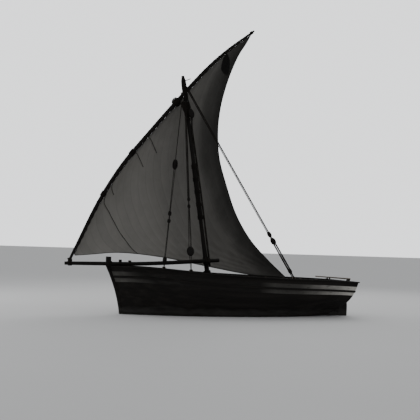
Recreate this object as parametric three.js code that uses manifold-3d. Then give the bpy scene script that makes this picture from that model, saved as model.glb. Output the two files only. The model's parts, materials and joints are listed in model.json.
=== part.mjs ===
// A lateen-rigged sailing dhow: an open planked boat with a transom stern, one raked mast,
// a bowsprit and one large triangular sail on a long curved yard.
// Millimetres. +X is forward, +Y is port, +Z is up. The origin is amidships on the centre
// line, at the waterline that the boat floats on.

import * as THREE from 'three';
import { mergeVertices } from 'three/addons/utils/BufferGeometryUtils.js';
import Module from 'manifold-3d';

const wasm = await Module();
wasm.setup();

// Driving dimensions of the hull
const GAP = 0.3; // play left between touching pieces
const STERN_RAKE = THREE.MathUtils.degToRad(15); // of the transom, sternpost and rudder
const TRANSOM_X = -3880; // aft face of the transom at the waterline
const TRANSOM_THICK = 45;
const STEM_X = 3885; // front of the stem at the waterline
const STEM_DEPTH = 100; // of the stem ahead of the plank ends
const TIMBER_HALF = 45; // half the width of keel, stem, deadwood and sternpost
const PLANK = 28;
const RAIL_PROUD = 30; // of the rub rail, outside the planks
const SHEER_WIDTH = 140;
const PALE_WIDTH = 140;
const RUB_WIDTH = 60;
const CAP_THICK = 40;
const CAP_OUT = 62; // of the cap rail, outboard of the plank's outside
const CAP_IN = 70; // of the cap rail, inboard of it
const FRAME_WIDE = 50;
const FRAME_DEEP = 60;
const FRAME_LET_IN = 12; // how far a frame is cut into the plank line before it is fitted
const TRANSOM_OVERHANG = 14; // of the transom's cap, aft of its face
const FAR = 5000; // beyond every edge of the boat

// Hull stations, aft to fore. Angles in degrees.
const STATION_COLUMNS = ['x', 'halfBeam', 'sheer', 'rabbet', 'deadrise', 'flare'];
const STATIONS = [
  [-3880, 1020, 1195, 270, 22, 8],
  [-3500, 1075, 1215, 60, 42, 7],
  [-3100, 1130, 1232, -160, 50, 6],
  [-2600, 1185, 1248, -340, 44, 5],
  [-2000, 1235, 1260, -450, 34, 5],
  [-1200, 1280, 1278, -505, 25, 4],
  [-300, 1300, 1312, -520, 20, 4],
  [600, 1285, 1345, -515, 19, 5],
  [1400, 1235, 1392, -505, 22, 7],
  [2100, 1130, 1452, -485, 29, 10],
  [2700, 935, 1503, -455, 40, 14],
  [3100, 725, 1520, -420, 52, 17],
  [3400, 490, 1524, -375, 64, 16],
  [3600, 285, 1523, -325, 74, 10],
  [3785, 45, 1520, -250, 90, 0],
];
const BEZIER_FOOT = 0.5; // handle at the keel, as a share of the section's chord
const BEZIER_HEAD = 0.4; // handle at the rail
const RAKE_FROM = { stern: -2200, bow: 2000 }; // where the sections start to lean

// The lines that the meshes share along the hull, and the share of the girth at the bilge
const GRID_X = [
  -3880, -3835, -3760, -3500, -3100, -2600, -2000, -1300, -600, 100, 800, 1400, 1900, 2300, 2700,
  3000, 3250, 3450, 3600, 3700, 3785,
];
const BILGE_SHARE = 0.45;
const SIDE_STEPS = 3;
const BOTTOM_STEPS = 5;

// Levels and places inside the hull
const KEEL_FOOT = { aft: -800, fore: -600 };
const KEEL_TOP_AFT = -500;
const KEEL_FORE_X = 3250;
const FRAME_X = [-3350, -2850, -2300, -1650, -1000, -350, 350, 1050, 1650, 2150, 2580, 3050, 3370];
const SHELF = { drop: 165, width: 90, thick: 36 };
const STRINGER = { share: 0.08, thick: 32 };
const FRAME_GROUPS = [
  ['aft', -FAR, -1325],
  ['middle', -1325, 1350],
  ['fore', 1350, FAR],
];
const AFT_DECK = { x0: -4200, x1: -500, top: 900, thick: 30 };
const FORE_DECK = { x0: 2860, x1: 4300, top: 1450, thick: 30 };
const FLOOR = { x0: -2500, x1: 2500, top: -235, thick: 25 };
const DECK_BEAM = { wide: 90, deep: 90, inset: 80 };
const MAST_STEP = { half: 300, halfWide: 160 };
const KEELSON = { x0: -2300, x1: 2500, half: 55, top: -335 };
const THWART = { wide: 330, thick: 60, bottom: 1205 };
const FORE_THWART = { x: 2080, wide: 240, thick: 45, bottom: 1300 };
const BOW_POSTS = [
  { x: 3890, y: -95, top: 1765 },
  { x: 3560, y: -150, top: 1745 },
];
const BOW_POST_SIDE = 90;
const STEM_HEAD = { length: 165, top: 1855 };

// Mast, bowsprit and yard: centre lines and half thicknesses
const MAST_FOOT = new THREE.Vector3(644, 0, -318);
const MAST_TOP = new THREE.Vector3(2006, 0, 7977);
const MAST_RADII = [
  [0, 92],
  [0.2, 86],
  [0.36, 66],
  [0.44, 80],
  [0.63, 82],
  [0.7, 66],
  [0.9, 58],
  [0.98, 62],
  [1, 50],
];
const SPRIT_LINE = [
  { at: [5730, 108, 1612], radius: 54 },
  { at: [5300, 117, 1616], radius: 63 },
  { at: [4240, 139, 1629], radius: 64 },
  { at: [3200, 161, 1640], radius: 66 },
  { at: [1600, 194, 1758], radius: 69 },
  { at: [600, 215, 1832], radius: 66 },
];
const YARD_LINE = [
  [5600, -2, 1625],
  [5235, -22, 2430],
  [4650, -52, 3680],
  [3910, -86, 4900],
  [3040, -122, 6020],
  [1920, -165, 7390],
  [1030, -212, 8418],
  [330, -272, 9090],
  [-640, -400, 9880],
];
const YARD_RADII = [
  [0, 44],
  [0.12, 56],
  [0.35, 72],
  [0.62, 70],
  [0.85, 54],
  [1, 33],
];
const YARD_SIDES = 12;
const YARD_STEPS = 30;
const YARD_JOINT_STEP = 12; // the step at which the lower yard meets the upper yard
const SLING_AT = new THREE.Vector3(1920, -165, 7390);
const TACK_AT = new THREE.Vector3(5553, -5, 1728);
const SLING_BORE = 76; // half the width inside the rope turns that carry the yard
const TACK_BORE = 57;
const SLING_NOTCH = { radius: 130, half: 40 }; // cut out of the sail round the sling
const YARD_LASHINGS = [
  { name: 'yard-lashing-heel', share: 0.238, turns: 5, thick: 32 },
  { name: 'yard-lashing-joint', share: 0.4, turns: 6, thick: 40 },
  { name: 'yard-lashing-sling', share: 0.622, turns: 8, thick: 62 },
];
const LASHING_PLAY = 4; // between a yard lashing and the sail's edge

// Sail
const SAIL_THICK = 8;
const SAIL_ROWS = 14;
const SAIL_HEAD = { from: 1, to: 29, by: 2 }; // steps of the yard that the sail is bent to
const SAIL_PEAK = 0.984; // the share of the yard's length where the sail's head ends
const SAIL_BELLY = 260;
const LEECH = [
  [-400, -470, 9450],
  [-160, -560, 9020],
  [50, -680, 8460],
  [220, -780, 7860],
  [350, -880, 7160],
  [390, -970, 6350],
  [280, -1050, 5410],
  [-20, -1130, 4520],
  [-480, -1230, 3440],
  [-1080, -1330, 2570],
  [-1770, -1440, 1910],
];
const CLEW = [-2640, -1620, 1215];
const FOOT = [
  [4830, -360, 1905],
  [3800, -800, 1985],
  [2250, -1200, 1870],
  [420, -1400, 1570],
  [-1100, -1560, 1330],
];

// Rudder, in the frame of its own axis: x forward, z up along the axis
const RUDDER_AXIS_AFT = 60; // of the transom's aft face
const RUDDER_THICK = 50;
const RUDDER_LEAD = 25; // of the blade, ahead of its axis
const RUDDER_EDGE = [
  [-330, -690],
  [-428, -640],
  [-375, -150],
  [-314, 136],
  [-245, 420],
  [-150, 700],
  [-105, 860],
  [-100, 1450],
];
const GUDGEONS = { lower: -420, upper: 700 };
const GUDGEON = { wide: 62, tall: 50, aft: 30, bore: 16.3 };
const PINTLE = { radius: 15.5, strap: 6, tall: 50, plate: 8, play: 6, below: 18 };
const STRAP_REACH = { lower: 230, upper: 130 }; // of a pintle's strap along the blade
const BLADE_NOTCH = 45; // depth of the blade's notch, aft of its axis
const TILLER = { z: 1346, dip: 12, aft: 110, ahead: 1250, thick: [30, 20] };

// Ropes
const ROPE = 17; // half the thickness of a standing rope
const RING_TURN = 16; // half the thickness of a lashing's turn
const BOW_LASHING_BELOW = 55; // how far the turns at the bow reach below the bowsprit's middle
const HEEL_LASHING_Z = 1800; // where the bowsprit's heel is lashed to the mast
const SLING_STUB = 150; // length of the sling's own end, to which the fore shroud is made fast
const SLING_LEAD = { side: [1, 1.5, 0], out: 28 }; // where that end leaves the sling's collar

// Stays. Collar: height on the mast, or none for the stay led from the sling. Foot: place on the
// rail. Each block: share of the way down, length and width.
const STAYS = {
  'shroud-fore': {
    foot: 2690,
    blocks: [
      [0.422, 330, 160],
      [0.7, 150, 84],
      [0.742, 130, 84],
      [0.957, 190, 110],
    ],
  },
  'shroud-aft': {
    collar: 7040,
    foot: 1840,
    blocks: [
      [0.583, 120, 80],
      [0.625, 120, 80],
      [0.888, 290, 220],
    ],
  },
  'halyard-tackle': {
    collar: 7600,
    foot: -1690,
    blocks: [
      [0.775, 180, 100],
      [0.81, 180, 100],
      [0.965, 170, 90],
    ],
  },
};
const TOGGLE = { long: 130, wide: 70, tall: 50 };
const BLOCK_THICK = 100; // across a block's cheeks, at most

// Colours of the materials
const COLOURS = {
  hull: 0x241c16,
  pale: 0xb9b3a4,
  deck: 0x6d5c48,
  spar: 0x3a2d22,
  sail: 0x6f6a60,
  rope: 0x4a4034,
  iron: 0x2c2a29,
};

// Geometry helpers

const vec = (p) => (p.isVector3 ? p : new THREE.Vector3(...p));
const UP_Y = new THREE.Vector3(0, 1, 0); // the axis that three.js turns its shapes about

function volumeOf(points, triangles) {
  let six = 0;
  const cross = new THREE.Vector3();
  for (const [a, b, c] of triangles) {
    cross.crossVectors(points[b], points[c]);
    six += points[a].dot(cross);
  }
  return six;
}

function geometryFrom(points, triangles) {
  const outward = volumeOf(points, triangles) > 0;
  const geometry = new THREE.BufferGeometry();
  geometry.setFromPoints(points);
  geometry.setIndex(triangles.flatMap(([a, b, c]) => (outward ? [a, b, c] : [a, c, b])));
  return geometry;
}

// A closed body through sections with the same even number of points each. An end is closed by
// rungs between its first and last points, and a twisted face is split on its shorter diagonal.
function loft(sections) {
  const count = sections[0].length;
  const points = sections.flat().map(vec);
  const triangles = [];
  const face = (a, b, c, d) => {
    const short = points[a].distanceToSquared(points[c]) <= points[b].distanceToSquared(points[d]);
    triangles.push(...(short ? [[a, b, c], [a, c, d]] : [[a, b, d], [b, c, d]]));
  };
  for (let s = 0; s + 1 < sections.length; s++) {
    for (let i = 0; i < count; i++) {
      const next = (i + 1) % count;
      face(s * count + i, s * count + next, (s + 1) * count + next, (s + 1) * count + i);
    }
  }
  const last = (sections.length - 1) * count;
  for (let i = 0; i + 1 < count / 2; i++) {
    face(i + 1, i, count - 1 - i, count - 2 - i);
    face(last + i, last + i + 1, last + count - 2 - i, last + count - 1 - i);
  }
  return geometryFrom(points, triangles);
}

function solid(geometry) {
  const bare = geometry.clone();
  bare.deleteAttribute('normal');
  bare.deleteAttribute('uv');
  const merged = mergeVertices(bare, 1e-3);
  return new wasm.Manifold(
    new wasm.Mesh({
      numProp: 3,
      vertProperties: new Float32Array(merged.attributes.position.array),
      triVerts: new Uint32Array(merged.index.array),
    }),
  );
}

function geometryOf(body) {
  const mesh = body.getMesh();
  const geometry = new THREE.BufferGeometry();
  geometry.setAttribute('position', new THREE.BufferAttribute(mesh.vertProperties, 3));
  geometry.setIndex(new THREE.BufferAttribute(mesh.triVerts, 1));
  return geometry;
}

function box(x0, x1, y0, y1, z0, z1) {
  const geometry = new THREE.BoxGeometry(x1 - x0, y1 - y0, z1 - z0);
  return geometry.translate((x0 + x1) / 2, (y0 + y1) / 2, (z0 + z1) / 2);
}

// A plate of a profile in the X-Z plane, between two values of Y
function plate(profile, y0, y1) {
  const shape = new THREE.Shape(profile.map(([x, z]) => new THREE.Vector2(x, z)));
  const geometry = new THREE.ExtrudeGeometry(shape, { depth: y1 - y0, bevelEnabled: false });
  return geometry.rotateX(Math.PI / 2).translate(0, y1, 0);
}

function radiusAt(table, share) {
  const next = table.findIndex(([at]) => at >= share);
  if (next <= 0) return table[0][1];
  const [a, ra] = table[next - 1];
  const [b, rb] = table[next];
  return THREE.MathUtils.mapLinear(share, a, b, ra, rb);
}

// A ring of points round an axis direction; the first lies toward the side vector
function ring(centre, along, side, radius, sides) {
  const across = new THREE.Vector3().crossVectors(along, side).normalize();
  const first = new THREE.Vector3().crossVectors(across, along).normalize();
  return Array.from({ length: sides }, (_, i) => {
    const turn = ((i + 0.5) / sides) * 2 * Math.PI;
    return centre
      .clone()
      .addScaledVector(first, radius * Math.cos(turn))
      .addScaledVector(across, radius * Math.sin(turn));
  });
}

// The rings of a round tapering spar along points, its half thickness given at each of them
function sparSections(points, radii, sides, side = new THREE.Vector3(0, 1, 0)) {
  return points.map((point, i) => {
    const [before, after] = [points[Math.max(i - 1, 0)], points[Math.min(i + 1, points.length - 1)]];
    return ring(point, after.clone().sub(before).normalize(), side, radii[i], sides);
  });
}

function straightSpar(from, to, table, sides, grow = 0) {
  const points = table.map(([share]) => vec(from).clone().lerp(vec(to), share));
  return loft(sparSections(points, table.map(([, radius]) => radius + grow), sides));
}

function rod(from, to, radius, sides = 8) {
  return straightSpar(from, to, [[0, radius], [1, radius]], sides);
}

// Hull form

const TRANSOM_SLOPE = Math.tan(STERN_RAKE);
const STEM_CURVE = [0.13, 0.00012]; // rake of the stem and its growth with height

const stemFront = (z) => STEM_X + STEM_CURVE[0] * z + STEM_CURVE[1] * z * z;

function stationAt(x) {
  const last = STATIONS.length - 1;
  const found = STATIONS.findIndex(([at]) => at >= x);
  const i = THREE.MathUtils.clamp(found < 0 ? last : found, 1, last);
  const span = STATIONS[i][0] - STATIONS[i - 1][0];
  const t = (x - STATIONS[i - 1][0]) / span;
  const slope = (k, c) => {
    const a = Math.max(k - 1, 0);
    const b = Math.min(k + 1, last);
    return (STATIONS[b][c] - STATIONS[a][c]) / (STATIONS[b][0] - STATIONS[a][0]);
  };
  const value = (c) => {
    const [t2, t3] = [t * t, t * t * t];
    return (
      (2 * t3 - 3 * t2 + 1) * STATIONS[i - 1][c] +
      (t3 - 2 * t2 + t) * span * slope(i - 1, c) +
      (3 * t2 - 2 * t3) * STATIONS[i][c] +
      (t3 - t2) * span * slope(i, c)
    );
  };
  return Object.fromEntries(STATION_COLUMNS.map((name, c) => [name, c ? value(c) : x]));
}

// How far a section has leaned at a height: not at all amidships, fully at the ends
function leanedX(x, z) {
  const stern = THREE.MathUtils.smoothstep(-x, -RAKE_FROM.stern, -TRANSOM_X);
  const bow = THREE.MathUtils.smoothstep(x, RAKE_FROM.bow, STEM_X - STEM_DEPTH);
  return x - stern * TRANSOM_SLOPE * z + bow * (stemFront(z) - STEM_X);
}

// Half a section from the rail down to the keel, and the length along it
function sectionAt(x) {
  const s = stationAt(x);
  const rad = THREE.MathUtils.degToRad;
  const rail = new THREE.Vector2(s.halfBeam, s.sheer);
  const keel = new THREE.Vector2(TIMBER_HALF, s.rabbet);
  const chord = rail.distanceTo(keel);
  const flare = new THREE.Vector2(-Math.sin(rad(s.flare)), -Math.cos(rad(s.flare)));
  const rise = new THREE.Vector2(Math.cos(rad(s.deadrise)), Math.sin(rad(s.deadrise)));
  const curve = new THREE.CubicBezierCurve(
    rail,
    rail.clone().addScaledVector(flare, BEZIER_HEAD * chord),
    keel.clone().addScaledVector(rise, BEZIER_FOOT * chord),
    keel,
  );
  return { curve, girth: curve.getLength() };
}

const PALE_END = SHEER_WIDTH + 2 * PALE_WIDTH + RUB_WIDTH;

// Rows of the planking from the rail down: below 1 a share of the way to the next fixed edge
function rowLength(row, girth) {
  const edges = [0, SHEER_WIDTH, SHEER_WIDTH + PALE_WIDTH, PALE_END - PALE_WIDTH, PALE_END];
  const bilge = PALE_END + BILGE_SHARE * (girth - PALE_END);
  edges.push(bilge, girth);
  const i = Math.min(Math.floor(row), edges.length - 2);
  return THREE.MathUtils.lerp(edges[i], edges[i + 1], row - i);
}

const ROW = { sheer: 0, upperPale: 1, rub: 2, lowerPale: 3, side: 4, bottom: 5, keel: 6 };

function surfacePoint(x, row) {
  const { curve, girth } = sectionAt(x);
  const p = curve.getPointAt(THREE.MathUtils.clamp(rowLength(row, girth) / girth, 0, 1));
  return new THREE.Vector3(leanedX(x, p.y), p.x, p.y);
}

const railLine = GRID_X.map((x) => surfacePoint(x, 0));

// The top edge of the planking, abreast of a place along the boat
function railAt(x) {
  const next = THREE.MathUtils.clamp(railLine.findIndex((p) => p.x >= x), 1, railLine.length - 1);
  const [a, b] = [railLine[next - 1], railLine[next]];
  return a.clone().lerp(b, (x - a.x) / (b.x - a.x));
}

// A point of the port side, moved inboard along the surface's normal. The top edge stays level.
function hullPoint(x, row, inboard) {
  const step = 8;
  const point = surfacePoint(x, row);
  const [x0, x1] = [Math.max(x - step, GRID_X[0]), Math.min(x + step, GRID_X.at(-1))];
  const along = surfacePoint(x1, row).sub(surfacePoint(x0, row));
  const [r0, r1] = [Math.max(row - 0.02, 0), Math.min(row + 0.02, ROW.keel)];
  const down = surfacePoint(x, r1).sub(surfacePoint(x, r0));
  const inward = along.cross(down).normalize();
  if (inward.y > 0) inward.negate();
  const moved = point.clone().addScaledVector(inward, inboard);
  if (row === 0) moved.z = railAt(moved.x).z;
  moved.y = Math.max(moved.y, 3);
  return moved;
}

// The same on the flat panels between the grid's stations
function panelPoint(x, row, inboard) {
  const next = GRID_X.findIndex((at) => at >= x);
  const share = (x - GRID_X[next - 1]) / (GRID_X[next] - GRID_X[next - 1]);
  return hullPoint(GRID_X[next - 1], row, inboard).lerp(hullPoint(GRID_X[next], row, inboard), share);
}

const mirrored = (p, side) => new THREE.Vector3(p.x, p.y * side, p.z);

// A strip of the hull's skin between rows, from the first depth to the last. A strip of only two
// rows may have depths between them, so that its edge splits where its neighbour's does.
function strip(xs, rows, depths, side, pointAt = hullPoint) {
  const sections = xs.map((x) => {
    const at = (row, depth) => mirrored(pointAt(x, row, depth), side);
    if (rows.length > 2) {
      const [outer, inner] = depths;
      return [...rows.map((row) => at(row, outer)), ...rows.toReversed().map((row) => at(row, inner))];
    }
    const [first, last] = rows;
    return [...depths.map((d) => at(first, d)), ...depths.toReversed().map((d) => at(last, d))];
  });
  return loft(sections);
}

const steps = (from, to, count) =>
  Array.from({ length: count + 1 }, (_, i) => from + ((to - from) * i) / count);

const ALL_ROWS = [
  ...[ROW.sheer, ROW.upperPale, ROW.rub, ROW.lowerPale],
  ...steps(ROW.side, ROW.bottom, SIDE_STEPS),
  ...steps(ROW.bottom, ROW.keel, BOTTOM_STEPS).slice(1),
];

const FRAME_ROWS = [0, 2, 4, 4.5, 5, 5.35, 5.7, 6];

// The room inside the hull at a depth from the plank's outside, closed level at the rail and
// running out past the stern
const rooms = new Map();
function room(depth) {
  if (!rooms.has(depth)) {
    const sections = GRID_X.map((x) => {
      const port = ALL_ROWS.map((row) => hullPoint(x, row, depth));
      return [...port, ...port.toReversed().map((p) => mirrored(p, -1))];
    });
    const astern = sections[0].map((p) => p.clone().setX(p.x - TRANSOM_THICK));
    rooms.set(depth, solid(loft([astern, ...sections])));
  }
  return rooms.get(depth);
}

// Hull pieces

const SIDES = [
  ['port', 1],
  ['starboard', -1],
];
const group = new THREE.Group();

function addMesh(name, geometry, kind, parent = group) {
  const finish = { iron: [0.6, 0.7], sail: [0.95, 0], rope: [0.95, 0] }[kind] ?? [0.8, 0];
  const material = new THREE.MeshStandardMaterial({
    color: COLOURS[kind],
    roughness: finish[0],
    metalness: finish[1],
    flatShading: true,
  });
  const mesh = new THREE.Mesh(geometry.isBufferGeometry ? geometry : geometryOf(geometry), material);
  mesh.name = name;
  parent.add(mesh);
  return mesh;
}

const rabbetAt = (x) => {
  const { rabbet } = stationAt(x);
  return [leanedX(x, rabbet), rabbet - GAP];
};

const keelFoot = (x) =>
  THREE.MathUtils.mapLinear(x, TRANSOM_X, KEEL_FORE_X, KEEL_FOOT.aft, KEEL_FOOT.fore);

const sternFace = (z, ahead = 0) => TRANSOM_X - TRANSOM_SLOPE * z + ahead;

function makeBackbone() {
  const postX = GRID_X[2];
  const front = (z) => rabbetAt(postX)[0] - TRANSOM_SLOPE * (z - rabbetAt(postX)[1]);
  const post = [
    [sternFace(keelFoot(TRANSOM_X)), keelFoot(TRANSOM_X)],
    [front(keelFoot(TRANSOM_X)), keelFoot(TRANSOM_X)],
    rabbetAt(postX),
    rabbetAt(GRID_X[1]),
    rabbetAt(GRID_X[0]),
  ];
  addMesh('sternpost', plate(post, -TIMBER_HALF, TIMBER_HALF), 'hull');

  const raised = GRID_X.filter((x) => x >= postX && stationAt(x).rabbet > KEEL_TOP_AFT);
  const deadRise = raised.filter((x) => x < 0);
  const dead = [
    ...deadRise.map((x) => rabbetAt(x)).map(([x, z], i) => (i ? [x, z] : [x + GAP, z])),
    [rabbetAt(deadRise.at(-1))[0], KEEL_TOP_AFT + GAP],
    [front(KEEL_TOP_AFT) + GAP, KEEL_TOP_AFT + GAP],
  ];
  addMesh('deadwood', plate(dead, -TIMBER_HALF, TIMBER_HALF), 'hull');

  const keelXs = GRID_X.filter((x) => x > deadRise.at(-1) && x <= KEEL_FORE_X);
  const [deadX, deadZ] = rabbetAt(deadRise.at(-1));
  const keel = [
    [front(KEEL_TOP_AFT) + GAP, KEEL_TOP_AFT],
    [deadX + GAP, KEEL_TOP_AFT],
    [deadX + GAP, deadZ],
    ...keelXs.map((x) => rabbetAt(x)),
    [rabbetAt(KEEL_FORE_X)[0], keelFoot(KEEL_FORE_X)],
    [front(keelFoot(TRANSOM_X)) + GAP, keelFoot(TRANSOM_X)],
  ];
  addMesh('keel', plate(keel, -TIMBER_HALF, TIMBER_HALF), 'hull');

  const foreXs = GRID_X.filter((x) => x >= KEEL_FORE_X);
  const sheer = railLine.at(-1).z + CAP_THICK + GAP;
  const back = ALL_ROWS.toReversed().map((row) => surfacePoint(GRID_X.at(-1), row));
  const frontLevels = steps(sheer, -300, 7);
  const forefoot = new THREE.QuadraticBezierCurve(
    new THREE.Vector2(stemFront(-300), -300),
    new THREE.Vector2(stemFront(-300) - 25, keelFoot(KEEL_FORE_X) + 20),
    new THREE.Vector2(KEEL_FORE_X + 120, keelFoot(KEEL_FORE_X)),
  );
  const stem = [
    ...foreXs.map((x, i) => (i ? rabbetAt(x) : [rabbetAt(x)[0] + GAP, rabbetAt(x)[1]])),
    ...back.slice(1).map((p) => [p.x + GAP, p.z]),
    [railLine.at(-1).x + GAP, sheer],
    [stemFront(sheer) - STEM_HEAD.length, sheer],
    [stemFront(sheer) - STEM_HEAD.length, STEM_HEAD.top],
    [stemFront(sheer), STEM_HEAD.top],
    ...frontLevels.map((z) => [stemFront(z), z]),
    ...forefoot.getPoints(5).slice(1).map((p) => [p.x, p.y]),
    [rabbetAt(KEEL_FORE_X)[0] + GAP, keelFoot(KEEL_FORE_X)],
  ];
  addMesh('stem', plate(stem, -TIMBER_HALF, TIMBER_HALF), 'hull');
}

// Strakes: name, first row, last row, steps between them, width of the last step, colour
const SIDE_STEP_WIDTH = 400;
const SIDE_BUTT_X = 800;
const STRAKES = [
  ['sheer-strake', ROW.sheer, ROW.upperPale, 1, SHEER_WIDTH, 'hull'],
  ['upper-pale-strake', ROW.upperPale, ROW.rub, 1, PALE_WIDTH, 'pale'],
  ['rub-rail', ROW.rub, ROW.lowerPale, 1, RUB_WIDTH, 'hull'],
  ['lower-pale-strake', ROW.lowerPale, ROW.side, 1, PALE_WIDTH, 'pale'],
  ['side-planking', ROW.side, ROW.bottom, SIDE_STEPS, SIDE_STEP_WIDTH, 'hull'],
  ['bottom-planking', ROW.bottom, ROW.keel, BOTTOM_STEPS, Infinity, 'hull'],
];

// The lengths that a strake is laid in: the side planking is butted under the mast thwart
function plankLengths(name) {
  if (name !== 'side-planking') return [['', GRID_X]];
  return [
    ['-aft', GRID_X.filter((x) => x <= SIDE_BUTT_X)],
    ['-fore', [SIDE_BUTT_X + GAP, ...GRID_X.filter((x) => x > SIDE_BUTT_X)]],
  ];
}

function makePlanking() {
  for (const [sideName, side] of SIDES) {
    for (const [name, first, last, count, width, kind] of STRAKES) {
      const rows = steps(first, last, count);
      rows[rows.length - 1] -= (2 * GAP) / width;
      const depths = name === 'rub-rail' ? [-RAIL_PROUD, 0, PLANK] : [0, PLANK];
      for (const [lengthName, xs] of plankLengths(name)) {
        addMesh(`${name}${lengthName}-${sideName}`, strip(xs, rows, depths, side), kind);
      }
    }
    const capXs = GRID_X.slice(1);
    const sections = capXs.map((x, i) => {
      const edge = surfacePoint(x, 0);
      const shift = i ? 0 : GAP;
      const y0 = Math.max(edge.y - CAP_IN, 6);
      const y1 = edge.y + CAP_OUT;
      const z0 = edge.z + GAP;
      const end = i === capXs.length - 1;
      const nose = end ? TIMBER_HALF + GAP : 0;
      const inner = end ? nose : y0;
      return [
        [edge.x + shift, inner * side, z0],
        [edge.x + shift, y1 * side, z0],
        [edge.x + shift, y1 * side, z0 + CAP_THICK],
        [edge.x + shift, inner * side, z0 + CAP_THICK],
      ];
    });
    addMesh(`cap-rail-${sideName}`, loft(sections), 'hull');
  }
}

function rakedSlab(ahead0, ahead1, y0, y1, z0, z1) {
  return plate(
    [
      [sternFace(z0, ahead0), z0],
      [sternFace(z0, ahead1), z0],
      [sternFace(z1, ahead1), z1],
      [sternFace(z1, ahead0), z1],
    ],
    y0,
    y1,
  );
}

function makeTransom() {
  const slab = solid(rakedSlab(0, TRANSOM_THICK, -FAR, FAR, -FAR, FAR));
  addMesh('transom', slab.intersect(room(PLANK + GAP)), 'hull');
  const half = railLine[0].y + CAP_OUT;
  const aftX = railLine[0].x - TRANSOM_OVERHANG;
  const foreX = railLine[1].x;
  const [aftZ, foreZ] = [railAt(aftX).z + GAP, railLine[1].z + GAP];
  const lean = TRANSOM_SLOPE * CAP_THICK;
  const profile = [
    [aftX, aftZ],
    [foreX, foreZ],
    [foreX - lean, foreZ + CAP_THICK],
    [aftX - lean, aftZ + CAP_THICK],
  ];
  addMesh('transom-cap', plate(profile, -half, half), 'hull');
}

// The frames of one side, joined by the shelf under the decks and by a bilge stringer
function frameBody(side) {
  const clear = side > 0 ? [KEELSON.half + GAP, FAR] : [-FAR, -KEELSON.half - GAP];
  const beside = solid(box(-FAR, FAR, ...clear, -FAR, FAR)).intersect(room(PLANK + GAP));
  const half = FRAME_WIDE / 2;
  const depths = [PLANK - FRAME_LET_IN, PLANK + FRAME_DEEP];
  const ribs = FRAME_X.map((x) =>
    solid(strip([x - half, x + half], FRAME_ROWS, depths, side, panelPoint)).intersect(beside),
  );
  const depth = PLANK + FRAME_DEEP - FRAME_LET_IN / 2;
  const within = (x0, x1) => GRID_X.filter((x) => x > x0 && x < x1);
  const shelfRows = [SHELF.drop / SHEER_WIDTH, (SHELF.drop + SHELF.width) / SHEER_WIDTH];
  const shelf = strip(within(-3600, 3500), shelfRows, [depth, depth + SHELF.thick], side);
  const bilgeRows = [ROW.bottom - STRINGER.share, ROW.bottom + STRINGER.share];
  const stringer = strip(within(-3200, 3050), bilgeRows, [depth, depth + STRINGER.thick], side);
  return wasm.Manifold.union([...ribs, solid(shelf), solid(stringer)]);
}

const frames = Object.fromEntries(SIDES.map(([name, side]) => [name, frameBody(side)]));

function makeFrames() {
  for (const [sideName] of SIDES) {
    for (const [groupName, x0, x1] of FRAME_GROUPS) {
      const length = solid(box(x0 + GAP, x1 - GAP, -FAR, FAR, -FAR, FAR));
      addMesh(`frames-${groupName}-${sideName}`, frames[sideName].intersect(length), 'deck');
    }
  }
}

const MAST_LINE = MAST_TOP.clone().sub(MAST_FOOT).normalize();
const mastShare = (z) => (z - MAST_FOOT.z) / (MAST_TOP.z - MAST_FOOT.z);
const mastAt = (z) => MAST_FOOT.clone().lerp(MAST_TOP, mastShare(z));
const mastRadius = (z) => radiusAt(MAST_RADII, mastShare(z));

function mastBody(grow) {
  const foot = MAST_FOOT.clone().addScaledVector(MAST_LINE, -grow);
  return solid(straightSpar(foot, MAST_TOP, MAST_RADII, 16, grow));
}

function innerBoard(x0, x1, z0, z1, depth) {
  return solid(box(x0, x1, -FAR, FAR, z0, z1)).intersect(room(depth));
}

// A board notched round the frames and shelves, with play on each face
function withoutFrames(body) {
  const play = 1.5 * GAP;
  let cut = body;
  for (const [name, side] of SIDES) {
    const inboard = -side * play;
    const moves = [[0, 0, 0], [play, 0, 0], [-play, 0, 0], [0, inboard, 0], [0, 0, play], [0, inboard, play]];
    for (const move of moves) cut = cut.subtract(frames[name].translate(move));
  }
  return cut;
}

function largest(body) {
  return body.decompose().sort((a, b) => b.volume() - a.volume())[0];
}

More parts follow.
